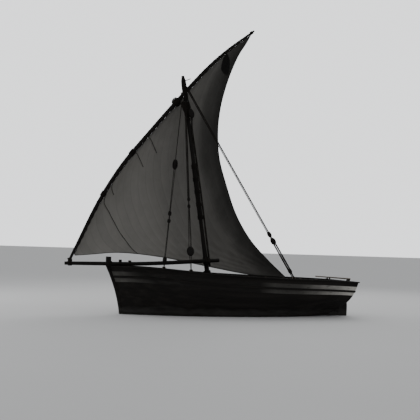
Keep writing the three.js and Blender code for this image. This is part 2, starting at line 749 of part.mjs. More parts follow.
function makeInside() {
  const toPlanks = PLANK + 4 * GAP;
  const toFrames = PLANK + FRAME_DEEP + 2 * GAP;
  const boardDown = ({ top, thick }) => [top - thick, top];
  const boardUp = ({ bottom, thick }) => [bottom, bottom + thick];

  const keelson = box(KEELSON.x0, KEELSON.x1, -KEELSON.half, KEELSON.half, -FAR, KEELSON.top);
  addMesh('keelson', largest(solid(keelson).intersect(room(PLANK + GAP))), 'deck');

  const stepX = [MAST_FOOT.x - MAST_STEP.half, MAST_FOOT.x + MAST_STEP.half];
  const stepZ = [KEELSON.top + GAP, FLOOR.top - FLOOR.thick - GAP];
  const step = solid(box(...stepX, -MAST_STEP.halfWide, MAST_STEP.halfWide, ...stepZ));
  addMesh('mast-step', step.subtract(mastBody(GAP)), 'deck');
  const floor = withoutFrames(innerBoard(FLOOR.x0, FLOOR.x1, ...boardDown(FLOOR), toFrames));
  addMesh('floorboards', largest(floor.subtract(mastBody(GAP))), 'deck');

  const aft = innerBoard(AFT_DECK.x0, AFT_DECK.x1, ...boardDown(AFT_DECK), toPlanks);
  const behind = solid(rakedSlab(-FAR, TRANSOM_THICK + GAP, -FAR, FAR, 0, AFT_DECK.top + 500));
  addMesh('aft-deck', largest(withoutFrames(aft.subtract(behind))), 'deck');
  const fore = innerBoard(FORE_DECK.x0, FORE_DECK.x1, ...boardDown(FORE_DECK), toPlanks);
  addMesh('fore-deck', largest(withoutFrames(fore)), 'deck');

  const beams = [
    ['aft-deck-beam', AFT_DECK.x1 - DECK_BEAM.wide, AFT_DECK.top - AFT_DECK.thick - GAP],
    ['fore-deck-beam', FORE_DECK.x0 + DECK_BEAM.inset, FORE_DECK.top - FORE_DECK.thick - GAP],
  ];
  for (const [name, x, top] of beams) {
    const beam = innerBoard(x, x + DECK_BEAM.wide, top - DECK_BEAM.deep, top, toFrames + SHELF.thick);
    addMesh(name, largest(beam), 'deck');
  }

  const thwartX = mastAt(THWART.bottom).x;
  const thwartEnds = [thwartX - THWART.wide / 2, thwartX + THWART.wide / 2];
  const thwart = innerBoard(...thwartEnds, ...boardUp(THWART), toPlanks);
  addMesh('mast-thwart', largest(withoutFrames(thwart).subtract(mastBody(GAP))), 'deck');
  const benchEnds = [FORE_THWART.x - FORE_THWART.wide / 2, FORE_THWART.x + FORE_THWART.wide / 2];
  const bench = innerBoard(...benchEnds, ...boardUp(FORE_THWART), toPlanks);
  addMesh('fore-thwart', largest(withoutFrames(bench)), 'deck');

  BOW_POSTS.forEach(({ x, y, top }, i) => {
    const half = BOW_POST_SIDE / 2;
    const post = box(x - half, x + half, y - half, y + half, FORE_DECK.top + GAP, top);
    addMesh(`bow-post-${i + 1}`, post, 'spar');
  });
}

// Rig

// A band of rope turns round an axis: a closed ring with a rounded section
const BAND_SIDES = 12;
function ropeRing(centre, axis, inner, turns, thick = 2 * RING_TURN) {
  const half = turns * RING_TURN;
  const profile = [
    [inner, -half],
    [inner + thick, -half * 0.6],
    [inner + thick, half * 0.6],
    [inner, half],
    [inner, -half],
  ].map(([r, h]) => new THREE.Vector2(r / Math.cos(Math.PI / BAND_SIDES), h));
  const geometry = new THREE.LatheGeometry(profile, BAND_SIDES);
  const turn = new THREE.Quaternion().setFromUnitVectors(UP_Y, axis.clone().normalize());
  return geometry.applyQuaternion(turn).translate(...centre.toArray());
}

function sprit(grow) {
  const points = SPRIT_LINE.map(({ at }) => vec(at));
  return loft(sparSections(points, SPRIT_LINE.map(({ radius }) => radius + grow), 12));
}

const HINGE = SLING_AT.clone().sub(TACK_AT).normalize();

function makeSpars() {
  addMesh('mast', mastBody(0), 'spar');
  addMesh('bowsprit', sprit(0), 'spar');
}

// The bowsprit's centre, direction and half thickness at a place along the boat
function spritAt(x) {
  const next = SPRIT_LINE.findIndex(({ at }) => at[0] <= x);
  const [ahead, behind] = [SPRIT_LINE[next - 1], SPRIT_LINE[next]];
  const share = (ahead.at[0] - x) / (ahead.at[0] - behind.at[0]);
  const [from, to] = [vec(ahead.at), vec(behind.at)];
  return {
    centre: from.clone().lerp(to, share),
    along: from.clone().sub(to).normalize(),
    radius: THREE.MathUtils.lerp(ahead.radius, behind.radius, share),
  };
}

// A round hole along a line through a point, as wide as the flats of a band's inside
function boreAlong(centre, axis, inner) {
  const reach = axis.clone().setLength(200);
  const radius = inner / Math.cos(Math.PI / BAND_SIDES);
  return solid(rod(centre.clone().sub(reach), centre.clone().add(reach), radius, BAND_SIDES));
}

function makeLashings() {
  const spritBand = (x, turns) => {
    const { centre, along, radius } = spritAt(x);
    return solid(ropeRing(centre, along, radius + GAP, turns)).subtract(solid(sprit(GAP)));
  };

  const crossing = mastAt(HEEL_LASHING_Z);
  const mastBand = ropeRing(crossing, MAST_LINE, mastRadius(HEEL_LASHING_Z) + GAP, 7);
  const woolding = solid(mastBand).add(spritBand(crossing.x, 5));
  const cleared = woolding.subtract(mastBody(GAP)).subtract(solid(sprit(GAP)));
  addMesh('mast-lashing', largest(cleared), 'rope');

  const bowX = stemFront(stationAt(GRID_X.at(-1)).sheer) - STEM_HEAD.length / 2;
  const bow = spritAt(bowX).centre;
  const tieHalf = [60, 30];
  const tieTop = [bow.z - tieHalf[1], bow.z + tieHalf[1]];
  const tie = solid(box(bowX - tieHalf[0], bowX + tieHalf[0], TIMBER_HALF + GAP, bow.y, ...tieTop));
  const head = solid(box(-FAR, FAR, -FAR, TIMBER_HALF + GAP, -FAR, FAR));
  const rail = solid(box(-FAR, FAR, -FAR, FAR, -FAR, bow.z - BOW_LASHING_BELOW));
  const bowTurns = spritBand(bowX, 4).add(tie.subtract(solid(sprit(GAP))));
  const bowBand = bowTurns.subtract(head).subtract(rail);
  addMesh('bow-lashing', largest(bowBand), 'rope');

  const tack = solid(ropeRing(TACK_AT, HINGE, TACK_BORE, 2)).add(spritBand(TACK_AT.x, 4));
  const tackClear = tack.subtract(boreAlong(TACK_AT, HINGE, TACK_BORE)).subtract(solid(sprit(GAP)));
  addMesh('tack-lashing', largest(tackClear), 'rope');

  const collar = solid(ropeRing(SLING_AT, HINGE, SLING_BORE, 1));
  const parrel = ropeRing(mastAt(SLING_AT.z), MAST_LINE, mastRadius(SLING_AT.z) + 1, 3);
  const sling = collar.add(solid(parrel)).subtract(boreAlong(SLING_AT, HINGE, SLING_BORE));
  const { from, along } = stayLine(STAYS['shroud-fore']);
  const stub = rod(from, from.clone().addScaledVector(along, SLING_STUB), ROPE);
  addMesh('yard-sling', largest(sling.add(solid(stub)).subtract(mastBody(GAP))), 'rope');
}

const onRail = (x) => railAt(x).z + CAP_THICK + 2 * GAP;

// The middle of a stay's rope, from the mast or the sling down to its toggle on the rail
function stayLine({ collar, foot }) {
  const to = new THREE.Vector3(foot, railAt(foot).y, onRail(foot) + TOGGLE.tall / 2);
  const centre = collar ? mastAt(collar) : SLING_AT.clone();
  const out = collar
    ? to.clone().sub(centre).projectOnPlane(MAST_LINE).setLength(mastRadius(collar) + RING_TURN)
    : vec(SLING_LEAD.side).projectOnPlane(HINGE).setLength(SLING_BORE + SLING_LEAD.out);
  const from = centre.add(out);
  return { from, to, along: to.clone().sub(from).normalize() };
}

function blockBody(centre, along, long, wide) {
  const thick = Math.min(wide, BLOCK_THICK);
  const geometry = new THREE.SphereGeometry(0.5, 8, 5).scale(wide, long, thick);
  const turn = new THREE.Quaternion().setFromUnitVectors(UP_Y, along);
  return solid(geometry.applyQuaternion(turn).translate(...centre.toArray()));
}

// A stay with its collar on the mast, if it has one, its blocks and its wooden toggle
function stayBody(stay) {
  const { from, to, along } = stayLine(stay);
  const start = from.clone().addScaledVector(along, stay.collar ? 0 : SLING_STUB + GAP);
  const toggle = [to.x - TOGGLE.long / 2, to.x + TOGGLE.long / 2].map((x) => {
    const [y0, y1] = [to.y - TOGGLE.wide / 2, to.y + TOGGLE.wide / 2];
    const z = onRail(x);
    return [
      [x, y0, z],
      [x, y1, z],
      [x, y1, z + TOGGLE.tall],
      [x, y0, z + TOGGLE.tall],
    ];
  });
  const blocks = stay.blocks.map(([share, long, wide]) =>
    blockBody(from.clone().lerp(to, share), along, long, wide),
  );
  const pieces = [solid(rod(start, to, ROPE)), solid(loft(toggle)), ...blocks];
  if (stay.collar) {
    const inner = mastRadius(stay.collar) + 1;
    pieces.push(solid(ropeRing(mastAt(stay.collar), MAST_LINE, inner, 2)));
  }
  return wasm.Manifold.union(pieces);
}

function makeStays() {
  for (const [name, stay] of Object.entries(STAYS)) {
    addMesh(name, stayBody(stay), 'rope');
  }
}

// Rudder

const RUDDER_ORIGIN_X = TRANSOM_X - RUDDER_AXIS_AFT / Math.cos(STERN_RAKE);
const rudderFrame = new THREE.Group();
rudderFrame.position.set(RUDDER_ORIGIN_X, 0, 0);
rudderFrame.rotation.y = -STERN_RAKE;
group.add(rudderFrame);

function tillerBody(grow) {
  const dip = THREE.MathUtils.degToRad(TILLER.dip);
  const at = (reach) => [reach * Math.cos(dip), 0, TILLER.z - reach * Math.sin(dip)];
  const table = [
    [0, TILLER.thick[0] + grow],
    [1, TILLER.thick[1] + grow],
  ];
  return straightSpar(at(-TILLER.aft - grow), at(TILLER.ahead), table, 8);
}

function makeRudder() {
  const half = RUDDER_THICK / 2;
  const [foot, head] = [RUDDER_EDGE[0][1], RUDDER_EDGE.at(-1)[1]];
  const edge = [[RUDDER_LEAD, foot], ...RUDDER_EDGE, [RUDDER_LEAD, head]];
  const bladeSlot = (x1, z0, z1) => solid(box(-FAR, x1, -half - GAP, half + GAP, z0, z1));
  let blade = solid(plate(edge, -half, half));
  for (const [name, z] of Object.entries(GUDGEONS)) {
    const low = z - GUDGEON.tall / 2 - PINTLE.play;
    const high = low + GUDGEON.tall + PINTLE.plate + 2 * PINTLE.play;
    blade = blade.subtract(solid(box(-BLADE_NOTCH, FAR, -FAR, FAR, low, high)));

    const wide = [-GUDGEON.wide / 2, GUDGEON.wide / 2];
    const tall = [z - GUDGEON.tall / 2, z + GUDGEON.tall / 2];
    const arm = solid(box(-GUDGEON.aft, RUDDER_AXIS_AFT - GAP, ...wide, ...tall));
    const bore = solid(rod([0, 0, tall[0] - 1], [0, 0, tall[1] + 1], GUDGEON.bore, 16));
    addMesh(`gudgeon-${name}`, arm.subtract(bore), 'iron', rudderFrame);

    const outer = half + GAP + PINTLE.strap;
    const web = RUDDER_LEAD + GAP + PINTLE.strap;
    const strapZ = [high - PINTLE.plate, high + PINTLE.tall];
    const strap = solid(box(-STRAP_REACH[name], web, -outer, outer, ...strapZ))
      .subtract(bladeSlot(RUDDER_LEAD + GAP, high - GAP, FAR))
      .subtract(bladeSlot(1 - BLADE_NOTCH, -FAR, high + 1));
    const pinFoot = low - PINTLE.below;
    const pin = solid(rod([0, 0, pinFoot], [0, 0, strapZ[0] + 1], PINTLE.radius, 16));
    addMesh(`pintle-${name}`, largest(strap.add(pin)), 'iron', rudderFrame);
    const socket = rod([0, 0, pinFoot - PINTLE.play], [0, 0, low + 1], PINTLE.radius + 1, 16);
    blade = blade.subtract(solid(socket));
  }
  blade = blade.subtract(solid(tillerBody(GAP)));
  addMesh('rudder-blade', largest(blade), 'hull', rudderFrame);
  addMesh('tiller', tillerBody(0), 'spar', rudderFrame);
}

// Yard and sail

const yardCurve = new THREE.CatmullRomCurve3(YARD_LINE.map(vec), false, 'centripetal');

// Where the yard's sections stand: evenly, apart from the one at the end of the sail's head
const yardShares = steps(0, 1, YARD_STEPS);
yardShares[SAIL_HEAD.to] = SAIL_PEAK;
const yardPoints = yardShares.map((share) => yardCurve.getPointAt(share));

function yardSections(grow) {
  const radii = yardShares.map((share) => radiusAt(YARD_RADII, share) + grow);
  return sparSections(yardPoints, radii, YARD_SIDES);
}

// Centre, direction and inner half width of a rope band on the yard
function yardBand({ share }) {
  const inner = radiusAt(YARD_RADII, share) - RING_TURN;
  return [yardCurve.getPointAt(share), yardCurve.getTangentAt(share), inner];
}

function makeYard() {
  const points = yardPoints;
  const j = YARD_JOINT_STEP;
  const sections = yardSections(0);
  const back = points[j - 1].clone().sub(points[j]).setLength(2 * GAP);
  const butt = sections[j].map((p) => p.clone().add(back));
  addMesh('lower-yard', loft([...sections.slice(0, j), butt]), 'spar');
  addMesh('upper-yard', loft(sections.slice(j)), 'spar');
  for (const lashing of YARD_LASHINGS) {
    const band = ropeRing(...yardBand(lashing), lashing.turns, lashing.thick);
    addMesh(lashing.name, solid(band).subtract(solid(loft(yardSections(GAP)))), 'rope');
  }
}

function makeSail() {
  const columns = steps(0, 1, (SAIL_HEAD.to - SAIL_HEAD.from) / SAIL_HEAD.by);
  const rows = steps(0, 1, SAIL_ROWS);
  const headAt = (p) => {
    const share = yardShares[Math.round(THREE.MathUtils.lerp(SAIL_HEAD.from, SAIL_HEAD.to, p))];
    const point = yardCurve.getPointAt(share);
    const along = yardCurve.getTangentAt(share);
    const aft = new THREE.Vector3(along.z, 0, -along.x).negate().normalize();
    const flat = radiusAt(YARD_RADII, share) * Math.cos(Math.PI / YARD_SIDES);
    return point.addScaledVector(aft, flat + 3.2 * GAP);
  };
  const tack = headAt(0).add(new THREE.Vector3(-30, 0, -60));
  const foot = new THREE.CatmullRomCurve3([tack, ...FOOT.map(vec), vec(CLEW)], false, 'centripetal');
  const leech = new THREE.CatmullRomCurve3([headAt(1), ...LEECH.map(vec), vec(CLEW)], false, 'centripetal');
  const luff = new THREE.LineCurve3(headAt(0), tack);
  const corners = { head0: headAt(0), head1: headAt(1), foot0: tack, foot1: vec(CLEW) };
  const at = (p, q) => {
    const point = headAt(p).multiplyScalar(1 - q);
    point.addScaledVector(foot.getPointAt(p), q);
    point.addScaledVector(luff.getPointAt(q), 1 - p);
    point.addScaledVector(leech.getPointAt(q), p);
    point.addScaledVector(corners.head0, -(1 - p) * (1 - q));
    point.addScaledVector(corners.head1, -p * (1 - q));
    point.addScaledVector(corners.foot0, -(1 - p) * q);
    point.addScaledVector(corners.foot1, -p * q);
    point.y -= SAIL_BELLY * Math.sin(Math.PI * p) * Math.sin(Math.PI * q);
    return point;
  };
  const sections = columns.map((p) => {
    const line = rows.map((q) => at(p, q));
    const half = new THREE.Vector3(0, SAIL_THICK / 2, 0);
    return [...line.map((v) => v.clone().add(half)), ...line.toReversed().map((v) => v.clone().sub(half))];
  });
  const notchAt = (centre, axis, half, radius) => {
    const reach = axis.clone().setLength(half);
    return solid(rod(centre.clone().sub(reach), centre.clone().add(reach), radius, 16));
  };
  let sail = solid(loft(sections));
  sail = sail.subtract(notchAt(SLING_AT, HINGE, SLING_NOTCH.half, SLING_NOTCH.radius));
  for (const lashing of YARD_LASHINGS) {
    const [centre, along, inner] = yardBand(lashing);
    const half = lashing.turns * RING_TURN + LASHING_PLAY;
    const radius = (inner + lashing.thick) / Math.cos(Math.PI / BAND_SIDES) + LASHING_PLAY;
    sail = sail.subtract(notchAt(centre, along, half, radius));
  }
  addMesh('sail', largest(sail), 'sail');
}

makeBackbone();
makePlanking();
makeTransom();
makeFrames();
makeInside();
makeSpars();
makeLashings();
makeStays();
makeRudder();
makeYard();
makeSail();

export default group;
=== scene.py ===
"""A lateen-rigged sailing dhow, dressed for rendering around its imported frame."""

import json
import math

import bmesh
import bpy
import numpy as np
from bpy.props import FloatProperty, FloatVectorProperty, IntProperty, PointerProperty
from mathutils import Matrix, Vector
from mathutils.geometry import convex_hull_2d

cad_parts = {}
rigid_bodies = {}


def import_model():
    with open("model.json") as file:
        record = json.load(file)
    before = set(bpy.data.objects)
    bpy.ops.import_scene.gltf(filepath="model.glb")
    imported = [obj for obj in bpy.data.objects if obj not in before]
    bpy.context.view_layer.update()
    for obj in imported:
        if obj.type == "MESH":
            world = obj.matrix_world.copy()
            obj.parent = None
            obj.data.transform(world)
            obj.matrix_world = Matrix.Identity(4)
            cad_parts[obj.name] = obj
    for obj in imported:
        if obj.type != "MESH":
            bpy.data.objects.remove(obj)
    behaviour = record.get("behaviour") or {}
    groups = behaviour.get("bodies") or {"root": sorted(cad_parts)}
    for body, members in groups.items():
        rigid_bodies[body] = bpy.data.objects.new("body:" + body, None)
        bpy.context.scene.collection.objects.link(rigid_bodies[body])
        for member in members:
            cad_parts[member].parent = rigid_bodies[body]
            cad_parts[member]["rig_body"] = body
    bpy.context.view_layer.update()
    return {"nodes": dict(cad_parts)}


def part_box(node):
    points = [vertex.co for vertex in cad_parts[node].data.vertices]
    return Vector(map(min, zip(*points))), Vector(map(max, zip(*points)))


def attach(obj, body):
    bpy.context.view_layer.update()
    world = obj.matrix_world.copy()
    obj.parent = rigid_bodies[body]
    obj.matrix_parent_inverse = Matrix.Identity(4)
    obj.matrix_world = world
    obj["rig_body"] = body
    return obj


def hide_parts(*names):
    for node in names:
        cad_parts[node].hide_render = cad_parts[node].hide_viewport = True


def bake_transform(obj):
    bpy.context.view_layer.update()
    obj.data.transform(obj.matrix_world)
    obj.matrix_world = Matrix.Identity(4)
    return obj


bl_info = {
    "name": "Lateen sailing dhow",
    "version": (1, 0, 0),
    "blender": (4, 5, 0),
    "location": "View3D > Sidebar > Dhow",
    "description": "Planks, rigs and finishes a small lateen-rigged dhow around its frame",
    "category": "Object",
}

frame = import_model()
NODES = frame["nodes"]
SIDES = {"port": 1, "starboard": -1}

# The yard's centre line and half thicknesses, from heel to peak
YARD_LINE = [
    (5.600, -0.002, 1.625),
    (5.235, -0.022, 2.430),
    (4.650, -0.052, 3.680),
    (3.910, -0.086, 4.900),
    (3.040, -0.122, 6.020),
    (1.920, -0.165, 7.390),
    (1.030, -0.212, 8.418),
    (0.330, -0.272, 9.090),
    (-0.640, -0.400, 9.880),
]
YARD_RADII = [(0, 0.044), (0.12, 0.056), (0.35, 0.072), (0.62, 0.070), (0.85, 0.054), (1, 0.033)]
YARD_LASHINGS = {"yard-lashing-heel": 0.238, "yard-lashing-joint": 0.4, "yard-lashing-sling": 0.622}
SLING_AT = Vector((1.920, -0.165, 7.390))
TACK_AT = Vector((5.553, -0.005, 1.728))

# The sail's free edges, from the peak down to the clew and from the tack back to the clew
LEECH = [
    (-0.400, -0.470, 9.450),
    (-0.160, -0.560, 9.020),
    (0.050, -0.680, 8.460),
    (0.220, -0.780, 7.860),
    (0.350, -0.880, 7.160),
    (0.390, -0.970, 6.350),
    (0.280, -1.050, 5.410),
    (-0.020, -1.130, 4.520),
    (-0.480, -1.230, 3.440),
    (-1.080, -1.330, 2.570),
    (-1.770, -1.440, 1.910),
]
CLEW = (-2.640, -1.620, 1.215)
FOOT = [
    (4.830, -0.360, 1.905),
    (3.800, -0.800, 1.985),
    (2.250, -1.200, 1.870),
    (0.420, -1.400, 1.570),
    (-1.100, -1.560, 1.330),
]

# Share of the sail's head, from tack to peak, and the share of the yard where it is laced
SAIL_HEAD = [(0, 1 / 30), (13 / 14, 0.9), (1, 0.984)]
SAIL_BELLY = 0.26
HEAD_OFF = 0.00096

# The dark patch: its middle, half length and half width in shares of head and depth, and its turn
PATCH_AT = (0.937, 0.078)
PATCH_HALF = (0.092, 0.017)
PATCH_TURN = math.radians(57)

# Ropes lying on the sail's port face, as shares of head and depth
SAIL_ROPES = {
    "foot_brail": [
        (0.238, 0.004),
        (0.250, 0.110),
        (0.255, 0.220),
        (0.300, 0.440),
        (0.315, 0.630),
        (0.318, 0.785),
        (0.305, 0.900),
        (0.300, 0.995),
    ],
    "gasket_1": [(0.395, 0.002), (0.420, 0.045), (0.475, 0.165), (0.530, 0.285)],
    "gasket_2": [(0.470, 0.002), (0.530, 0.110), (0.572, 0.190), (0.615, 0.270)],
    "gasket_3": [(0.268, 0.002), (0.290, 0.110), (0.310, 0.200), (0.335, 0.295)],
}

# Mast and bowsprit
MAST = (Vector((0.644, 0, -0.318)), Vector((2.006, 0, 7.977)))
MAST_AXIS = (MAST[1] - MAST[0]).normalized()
MAST_RADII = [
    (0, 0.092),
    (0.2, 0.086),
    (0.36, 0.066),
    (0.44, 0.080),
    (0.63, 0.082),
    (0.7, 0.066),
    (0.9, 0.058),
    (0.98, 0.062),
    (1, 0.050),
]

# The fished stretch of the mast: its heights, the mast's half thickness under the splints, the
# number of splints, and a splint's thickness and width
SPLINTS = (3.180, 5.020)
SPLINT_SEAT = 0.066
SPLINT_COUNT = 7
SPLINT = (0.017, 0.044)

# How far a splint is let into the mast and shifted along it, and the number of wooldings over them
SPLINT_SUNK = 0.004
SPLINT_SHIFT = 0.04
WOOLDINGS = 5

# The bowsprit's centre line and half thickness, from its tip to its heel
SPRIT_LINE = [
    ((5.730, 0.108, 1.612), 0.054),
    ((5.300, 0.117, 1.616), 0.063),
    ((4.240, 0.139, 1.629), 0.064),
    ((3.200, 0.161, 1.640), 0.066),
    ((1.600, 0.194, 1.758), 0.069),
    ((0.600, 0.215, 1.832), 0.066),
]

# How far the bow lashing reaches below the bowsprit's middle, and the height of the heel lashing
BOW_LASHING_BELOW = 0.045
HEEL_LASHING_Z = 1.80

# The sling's half width inside, and the side of it from which the fore shroud is led
SLING_BORE = 0.076
SLING_LEAD = Vector((1, 1.5, 0))

# Radius and half length of the room round the sling that the sail's head leaves free, and the
# share of the yard on each side of it that has no lacing
SLING_ROOM = 0.135
SLING_ROOM_HALF = 0.10
SLING_UNLACED = 0.012

# The halyard's block behind the mast, its length and width
HALYARD_BLOCK = (1.700, 0.115, 6.715)
HALYARD_BLOCK_SIZE = (0.300, 0.180)

# The rudder's axis at the waterline, its rake, and the section and ends of its leading edge
RUDDER_AXIS = Vector((-3.9421, 0, 0))
STERN_RAKE = math.radians(15)
RUDDER_NOSE = [
    (0.020, 0.025),
    (0.040, 0.025),
    (0.047, 0.015),
    (0.0495, 0.0),
    (0.047, -0.015),
    (0.040, -0.025),
    (0.020, -0.025),
]
RUDDER_NOSE_ENDS = (-0.325, 0.660)

# A toggle's length, width and height, and half the width and height of the room that it takes
# with its hitch
TOGGLE = (0.13, 0.05, 0.045)
TOGGLE_ROOM = (0.035, 0.025)

# Standing ropes: x of the foot on the rail, height of the collar on the mast, number and half
# thickness of the ropes in each stretch, and each block's share of the way down, length and width
STAYS = {
    "shroud-fore": {
        "foot": 2.690,
        "ropes": [(1, 0.0140), (2, 0.0115), (2, 0.0115), (2, 0.0115), (2, 0.0115)],
        "blocks": [
            (0.422, 0.330, 0.160),
            (0.700, 0.150, 0.084),
            (0.742, 0.130, 0.084),
            (0.957, 0.190, 0.110),
        ],
    },
    "shroud-aft": {
        "foot": 1.840,
        "collar": 7.040,
        "ropes": [(3, 0.0140), (2, 0.0115), (3, 0.0115), (2, 0.0115)],
        "blocks": [(0.583, 0.120, 0.080), (0.625, 0.120, 0.080), (0.888, 0.290, 0.220)],
    },
    "halyard-tackle": {
        "foot": -1.690,
        "collar": 7.600,
        "ropes": [(3, 0.0150), (3, 0.0150), (4, 0.0180), (3, 0.0165)],
        "blocks": [(0.775, 0.200, 0.120), (0.810, 0.230, 0.160), (0.965, 0.180, 0.110)],
    },
}

# Half thickness of each kind of rope
ROPES = {
    "lacing": 0.0055,
    "edge": 0.009,
    "strop": 0.009,
    "woolding": 0.0092,
    "gasket": 0.010,
    "belay": 0.010,
    "sheet": 0.011,
    "halyard": 0.0115,
    "yard lashing": 0.012,
    "lashing": 0.0125,
    "collar": 0.013,
    "truss": 0.0145,
    "spare end": 0.016,
}


# Settings that a user may change


class DhowHullSettings(bpy.types.PropertyGroup):
    seam: FloatProperty(
        name="Seam width",
        description="Width of the caulked groove between two planks",
        default=0.009,
        unit="LENGTH",
    )
    seam_depth: FloatProperty(
        name="Seam depth",
        description="Depth of the groove between two planks",
        default=0.006,
        unit="LENGTH",
    )
    edge: FloatProperty(
        name="Worn edge",
        description="Radius of the rounding on the edges of timbers",
        default=0.006,
        unit="LENGTH",
    )
    board: FloatProperty(
        name="Deck board",
        description="Width of one board of the decks and the floor",
        default=0.17,
        unit="LENGTH",
    )
    # Painted shade: this timber colour is darker than oiled wood, standing in for the shade on the
    # backlit hull
    timber: FloatVectorProperty(
        name="Timber colour",
        description="Colour of the oiled hull planks",
        default=(0.0062, 0.0054, 0.0047),
        subtype="COLOR",
        min=0,
        max=1,
    )
    paint: FloatVectorProperty(
        name="Band colour",
        description="Colour of the worn paint on the two pale strakes",
        default=(0.48, 0.465, 0.43),
        subtype="COLOR",
        min=0,
        max=1,
    )
    deck: FloatVectorProperty(
        name="Deck colour",
        description="Colour of the bare weathered boards",
        default=(0.115, 0.094, 0.074),
        subtype="COLOR",
        min=0,
        max=1,
    )


class DhowRigSettings(bpy.types.PropertyGroup):
    panels: IntProperty(
        name="Sail cloths",
        description="Number of cloths that the sail is sewn from",
        default=20,
        min=4,
        max=60,
    )
    scallop: FloatProperty(
        name="Scallop",
        description="How far the head sags from the yard between two lacings",
        default=0.018,
        unit="LENGTH",
    )
    lacings: IntProperty(
        name="Lacings",
        description="Number of rope lacings along the yard",
        default=40,
        min=4,
        max=120,
    )
    canvas: FloatVectorProperty(
        name="Canvas colour",
        description="Colour of the weathered sail cloth",
        default=(0.252, 0.243, 0.226),
        subtype="COLOR",
        min=0,
        max=1,
    )
    # Painted shade: this spar colour is darker than oiled wood, standing in for the shade on the
    # backlit spars
    spar: FloatVectorProperty(
        name="Spar colour",
        description="Colour of the oiled mast and yard",
        default=(0.0060, 0.0050, 0.0042),
        subtype="COLOR",
        min=0,
        max=1,
    )
    rope: FloatVectorProperty(
        name="Rope colour",
        description="Colour of the tarred coir rope",
        default=(0.0105, 0.0090, 0.0074),
        subtype="COLOR",
        min=0,
        max=1,
    )


class DhowStageSettings(bpy.types.PropertyGroup):
    floor: FloatProperty(
        name="Floor size",
        description="Width of the pale floor at the waterline",
        default=900.0,
        unit="LENGTH",
    )
    inside: FloatProperty(
        name="Floor edge",
        description="How far into the planking the floor reaches around the hull",
        default=0.012,
        unit="LENGTH",
    )
    shade: FloatVectorProperty(
        name="Floor colour",
        description="Colour of the plain pale floor",
        default=(0.50, 0.50, 0.50),
        subtype="COLOR",
        min=0,
        max=1,
    )
    sky: FloatProperty(
        name="Ambient light",
        description="Strength of the soft light from all round",
        default=0.75,
    )
    backdrop: FloatProperty(
        name="Backdrop",
        description="Brightness of the plain pale backdrop itself",
        default=1.7,
    )


# Finishes


class Finish:
    """A node material under construction, with short calls for the nodes that it needs."""

    def __init__(self, name):
        self.material = bpy.data.materials.new(name)
        self.material.use_nodes = True
        self.tree = self.material.node_tree
        self.shader = self.tree.nodes["Principled BSDF"]

    def add(self, kind, inputs=None, **settings):
        node = self.tree.nodes.new(kind)
        for key, value in settings.items():
            setattr(node, key, value)
        for key, value in (inputs or {}).items():
            self.put(node.inputs[key], value)
        return node

    def put(self, socket, value):
        if isinstance(value, bpy.types.NodeSocket):
            self.tree.links.new(value, socket)
        elif socket.type == "RGBA" and len(value) == 3:
            socket.default_value = (*value, 1)
        else:
            socket.default_value = value

    def axes(self, vector):
        return self.add("ShaderNodeSeparateXYZ", {"Vector": vector}).outputs

    def place(self, turn=(0, 0, 0), stretch=(1, 1, 1)):
        """Object coordinates, turned and stretched."""
        coordinates = self.add("ShaderNodeTexCoord").outputs["Object"]
        turned = self.add("ShaderNodeMapping", {"Vector": coordinates, "Rotation": turn})
        inputs = {"Vector": turned.outputs[0], "Scale": stretch}
        return self.add("ShaderNodeMapping", inputs).outputs[0]

    def noise(self, scale, detail, rough=0.55, stretch=(1, 1, 1), turn=(0, 0, 0)):
        """Clouds from 0 to 1, in object coordinates that are turned and then stretched."""
        where = self.place(turn, stretch)
        inputs = {"Vector": where, "Scale": scale, "Detail": detail, "Roughness": rough}
        return self.add("ShaderNodeTexNoise", inputs).outputs["Fac"]

    def ramp(self, value, low, high, to_low=0.0, to_high=1.0):
        inputs = {"Value": value, "From Min": low, "From Max": high}
        inputs.update({"To Min": to_low, "To Max": to_high})
        return self.add("ShaderNodeMapRange", inputs).outputs[0]

    def math(self, operation, a, b=0.0, c=0.0):
        return self.add("ShaderNodeMath", {0: a, 1: b, 2: c}, operation=operation).outputs[0]

    def blend(self, share, a, b):
        return self.add("ShaderNodeMix", {0: share, 6: a, 7: b}, data_type="RGBA").outputs[2]

    def tint(self, tone, colour, mask, low, high, most=1.0):
        """Lays a colour over a tone, more of it as a mask goes from low to high."""
        return self.blend(self.ramp(mask, low, high, 0.0, most), tone, colour)

    def bump(self, height, depth, strength, before=None):
        inputs = {"Height": height, "Distance": depth, "Strength": strength}
        if before is not None:
            inputs["Normal"] = before
        return self.add("ShaderNodeBump", inputs).outputs[0]

    def done(self, colour, roughness, normal=None, gloss=0.5):
        self.put(self.shader.inputs["Base Color"], colour)
        self.put(self.shader.inputs["Roughness"], roughness)
        self.put(self.shader.inputs["Specular IOR Level"], gloss)
        if normal is not None:
            self.put(self.shader.inputs["Normal"], normal)
        return self.material


def shade(colour, factor):
    return tuple(min(channel * factor, 1.0) for channel in colour)


def turn_onto_x(direction):
    """Mapping angles that lay a direction along X, so that grain follows a spar."""
    return Vector(direction).normalized().rotation_difference(Vector((1, 0, 0))).to_euler()


def wood(name, colour, turn=(0, 0, 0), sheen=0.12):
    """Bare or oiled timber: long grain, open fibres, dark and grey patches and faint checks."""
    finish = Finish(name)
    grain = finish.noise(3.0, 6.0, 0.6, (0.6, 9, 9), turn)
    fibre = finish.noise(4.0, 3.0, 0.7, (1.5, 60, 60), turn)
    patch = finish.noise(1.4, 3.0, stretch=(0.5, 1.3, 1.3), turn=turn)
    grey = sum(colour) / 3
    weathered = tuple(0.45 * channel + 0.75 * grey for channel in colour)
    tone = finish.tint(shade(colour, 0.5), shade(colour, 1.5), grain, 0.3, 0.7)
    tone = finish.tint(tone, shade(colour, 0.35), fibre, 0.55, 0.8, 0.5)
    tone = finish.tint(tone, shade(weathered, 1.5), patch, 0.45, 0.75, 0.6)
    normal = finish.bump(grain, 0.004, 0.5, finish.bump(fibre, 0.0015, 0.5))
    return finish.done(tone, finish.ramp(grain, 0.25, 0.75, 0.6, 0.9), normal, sheen)


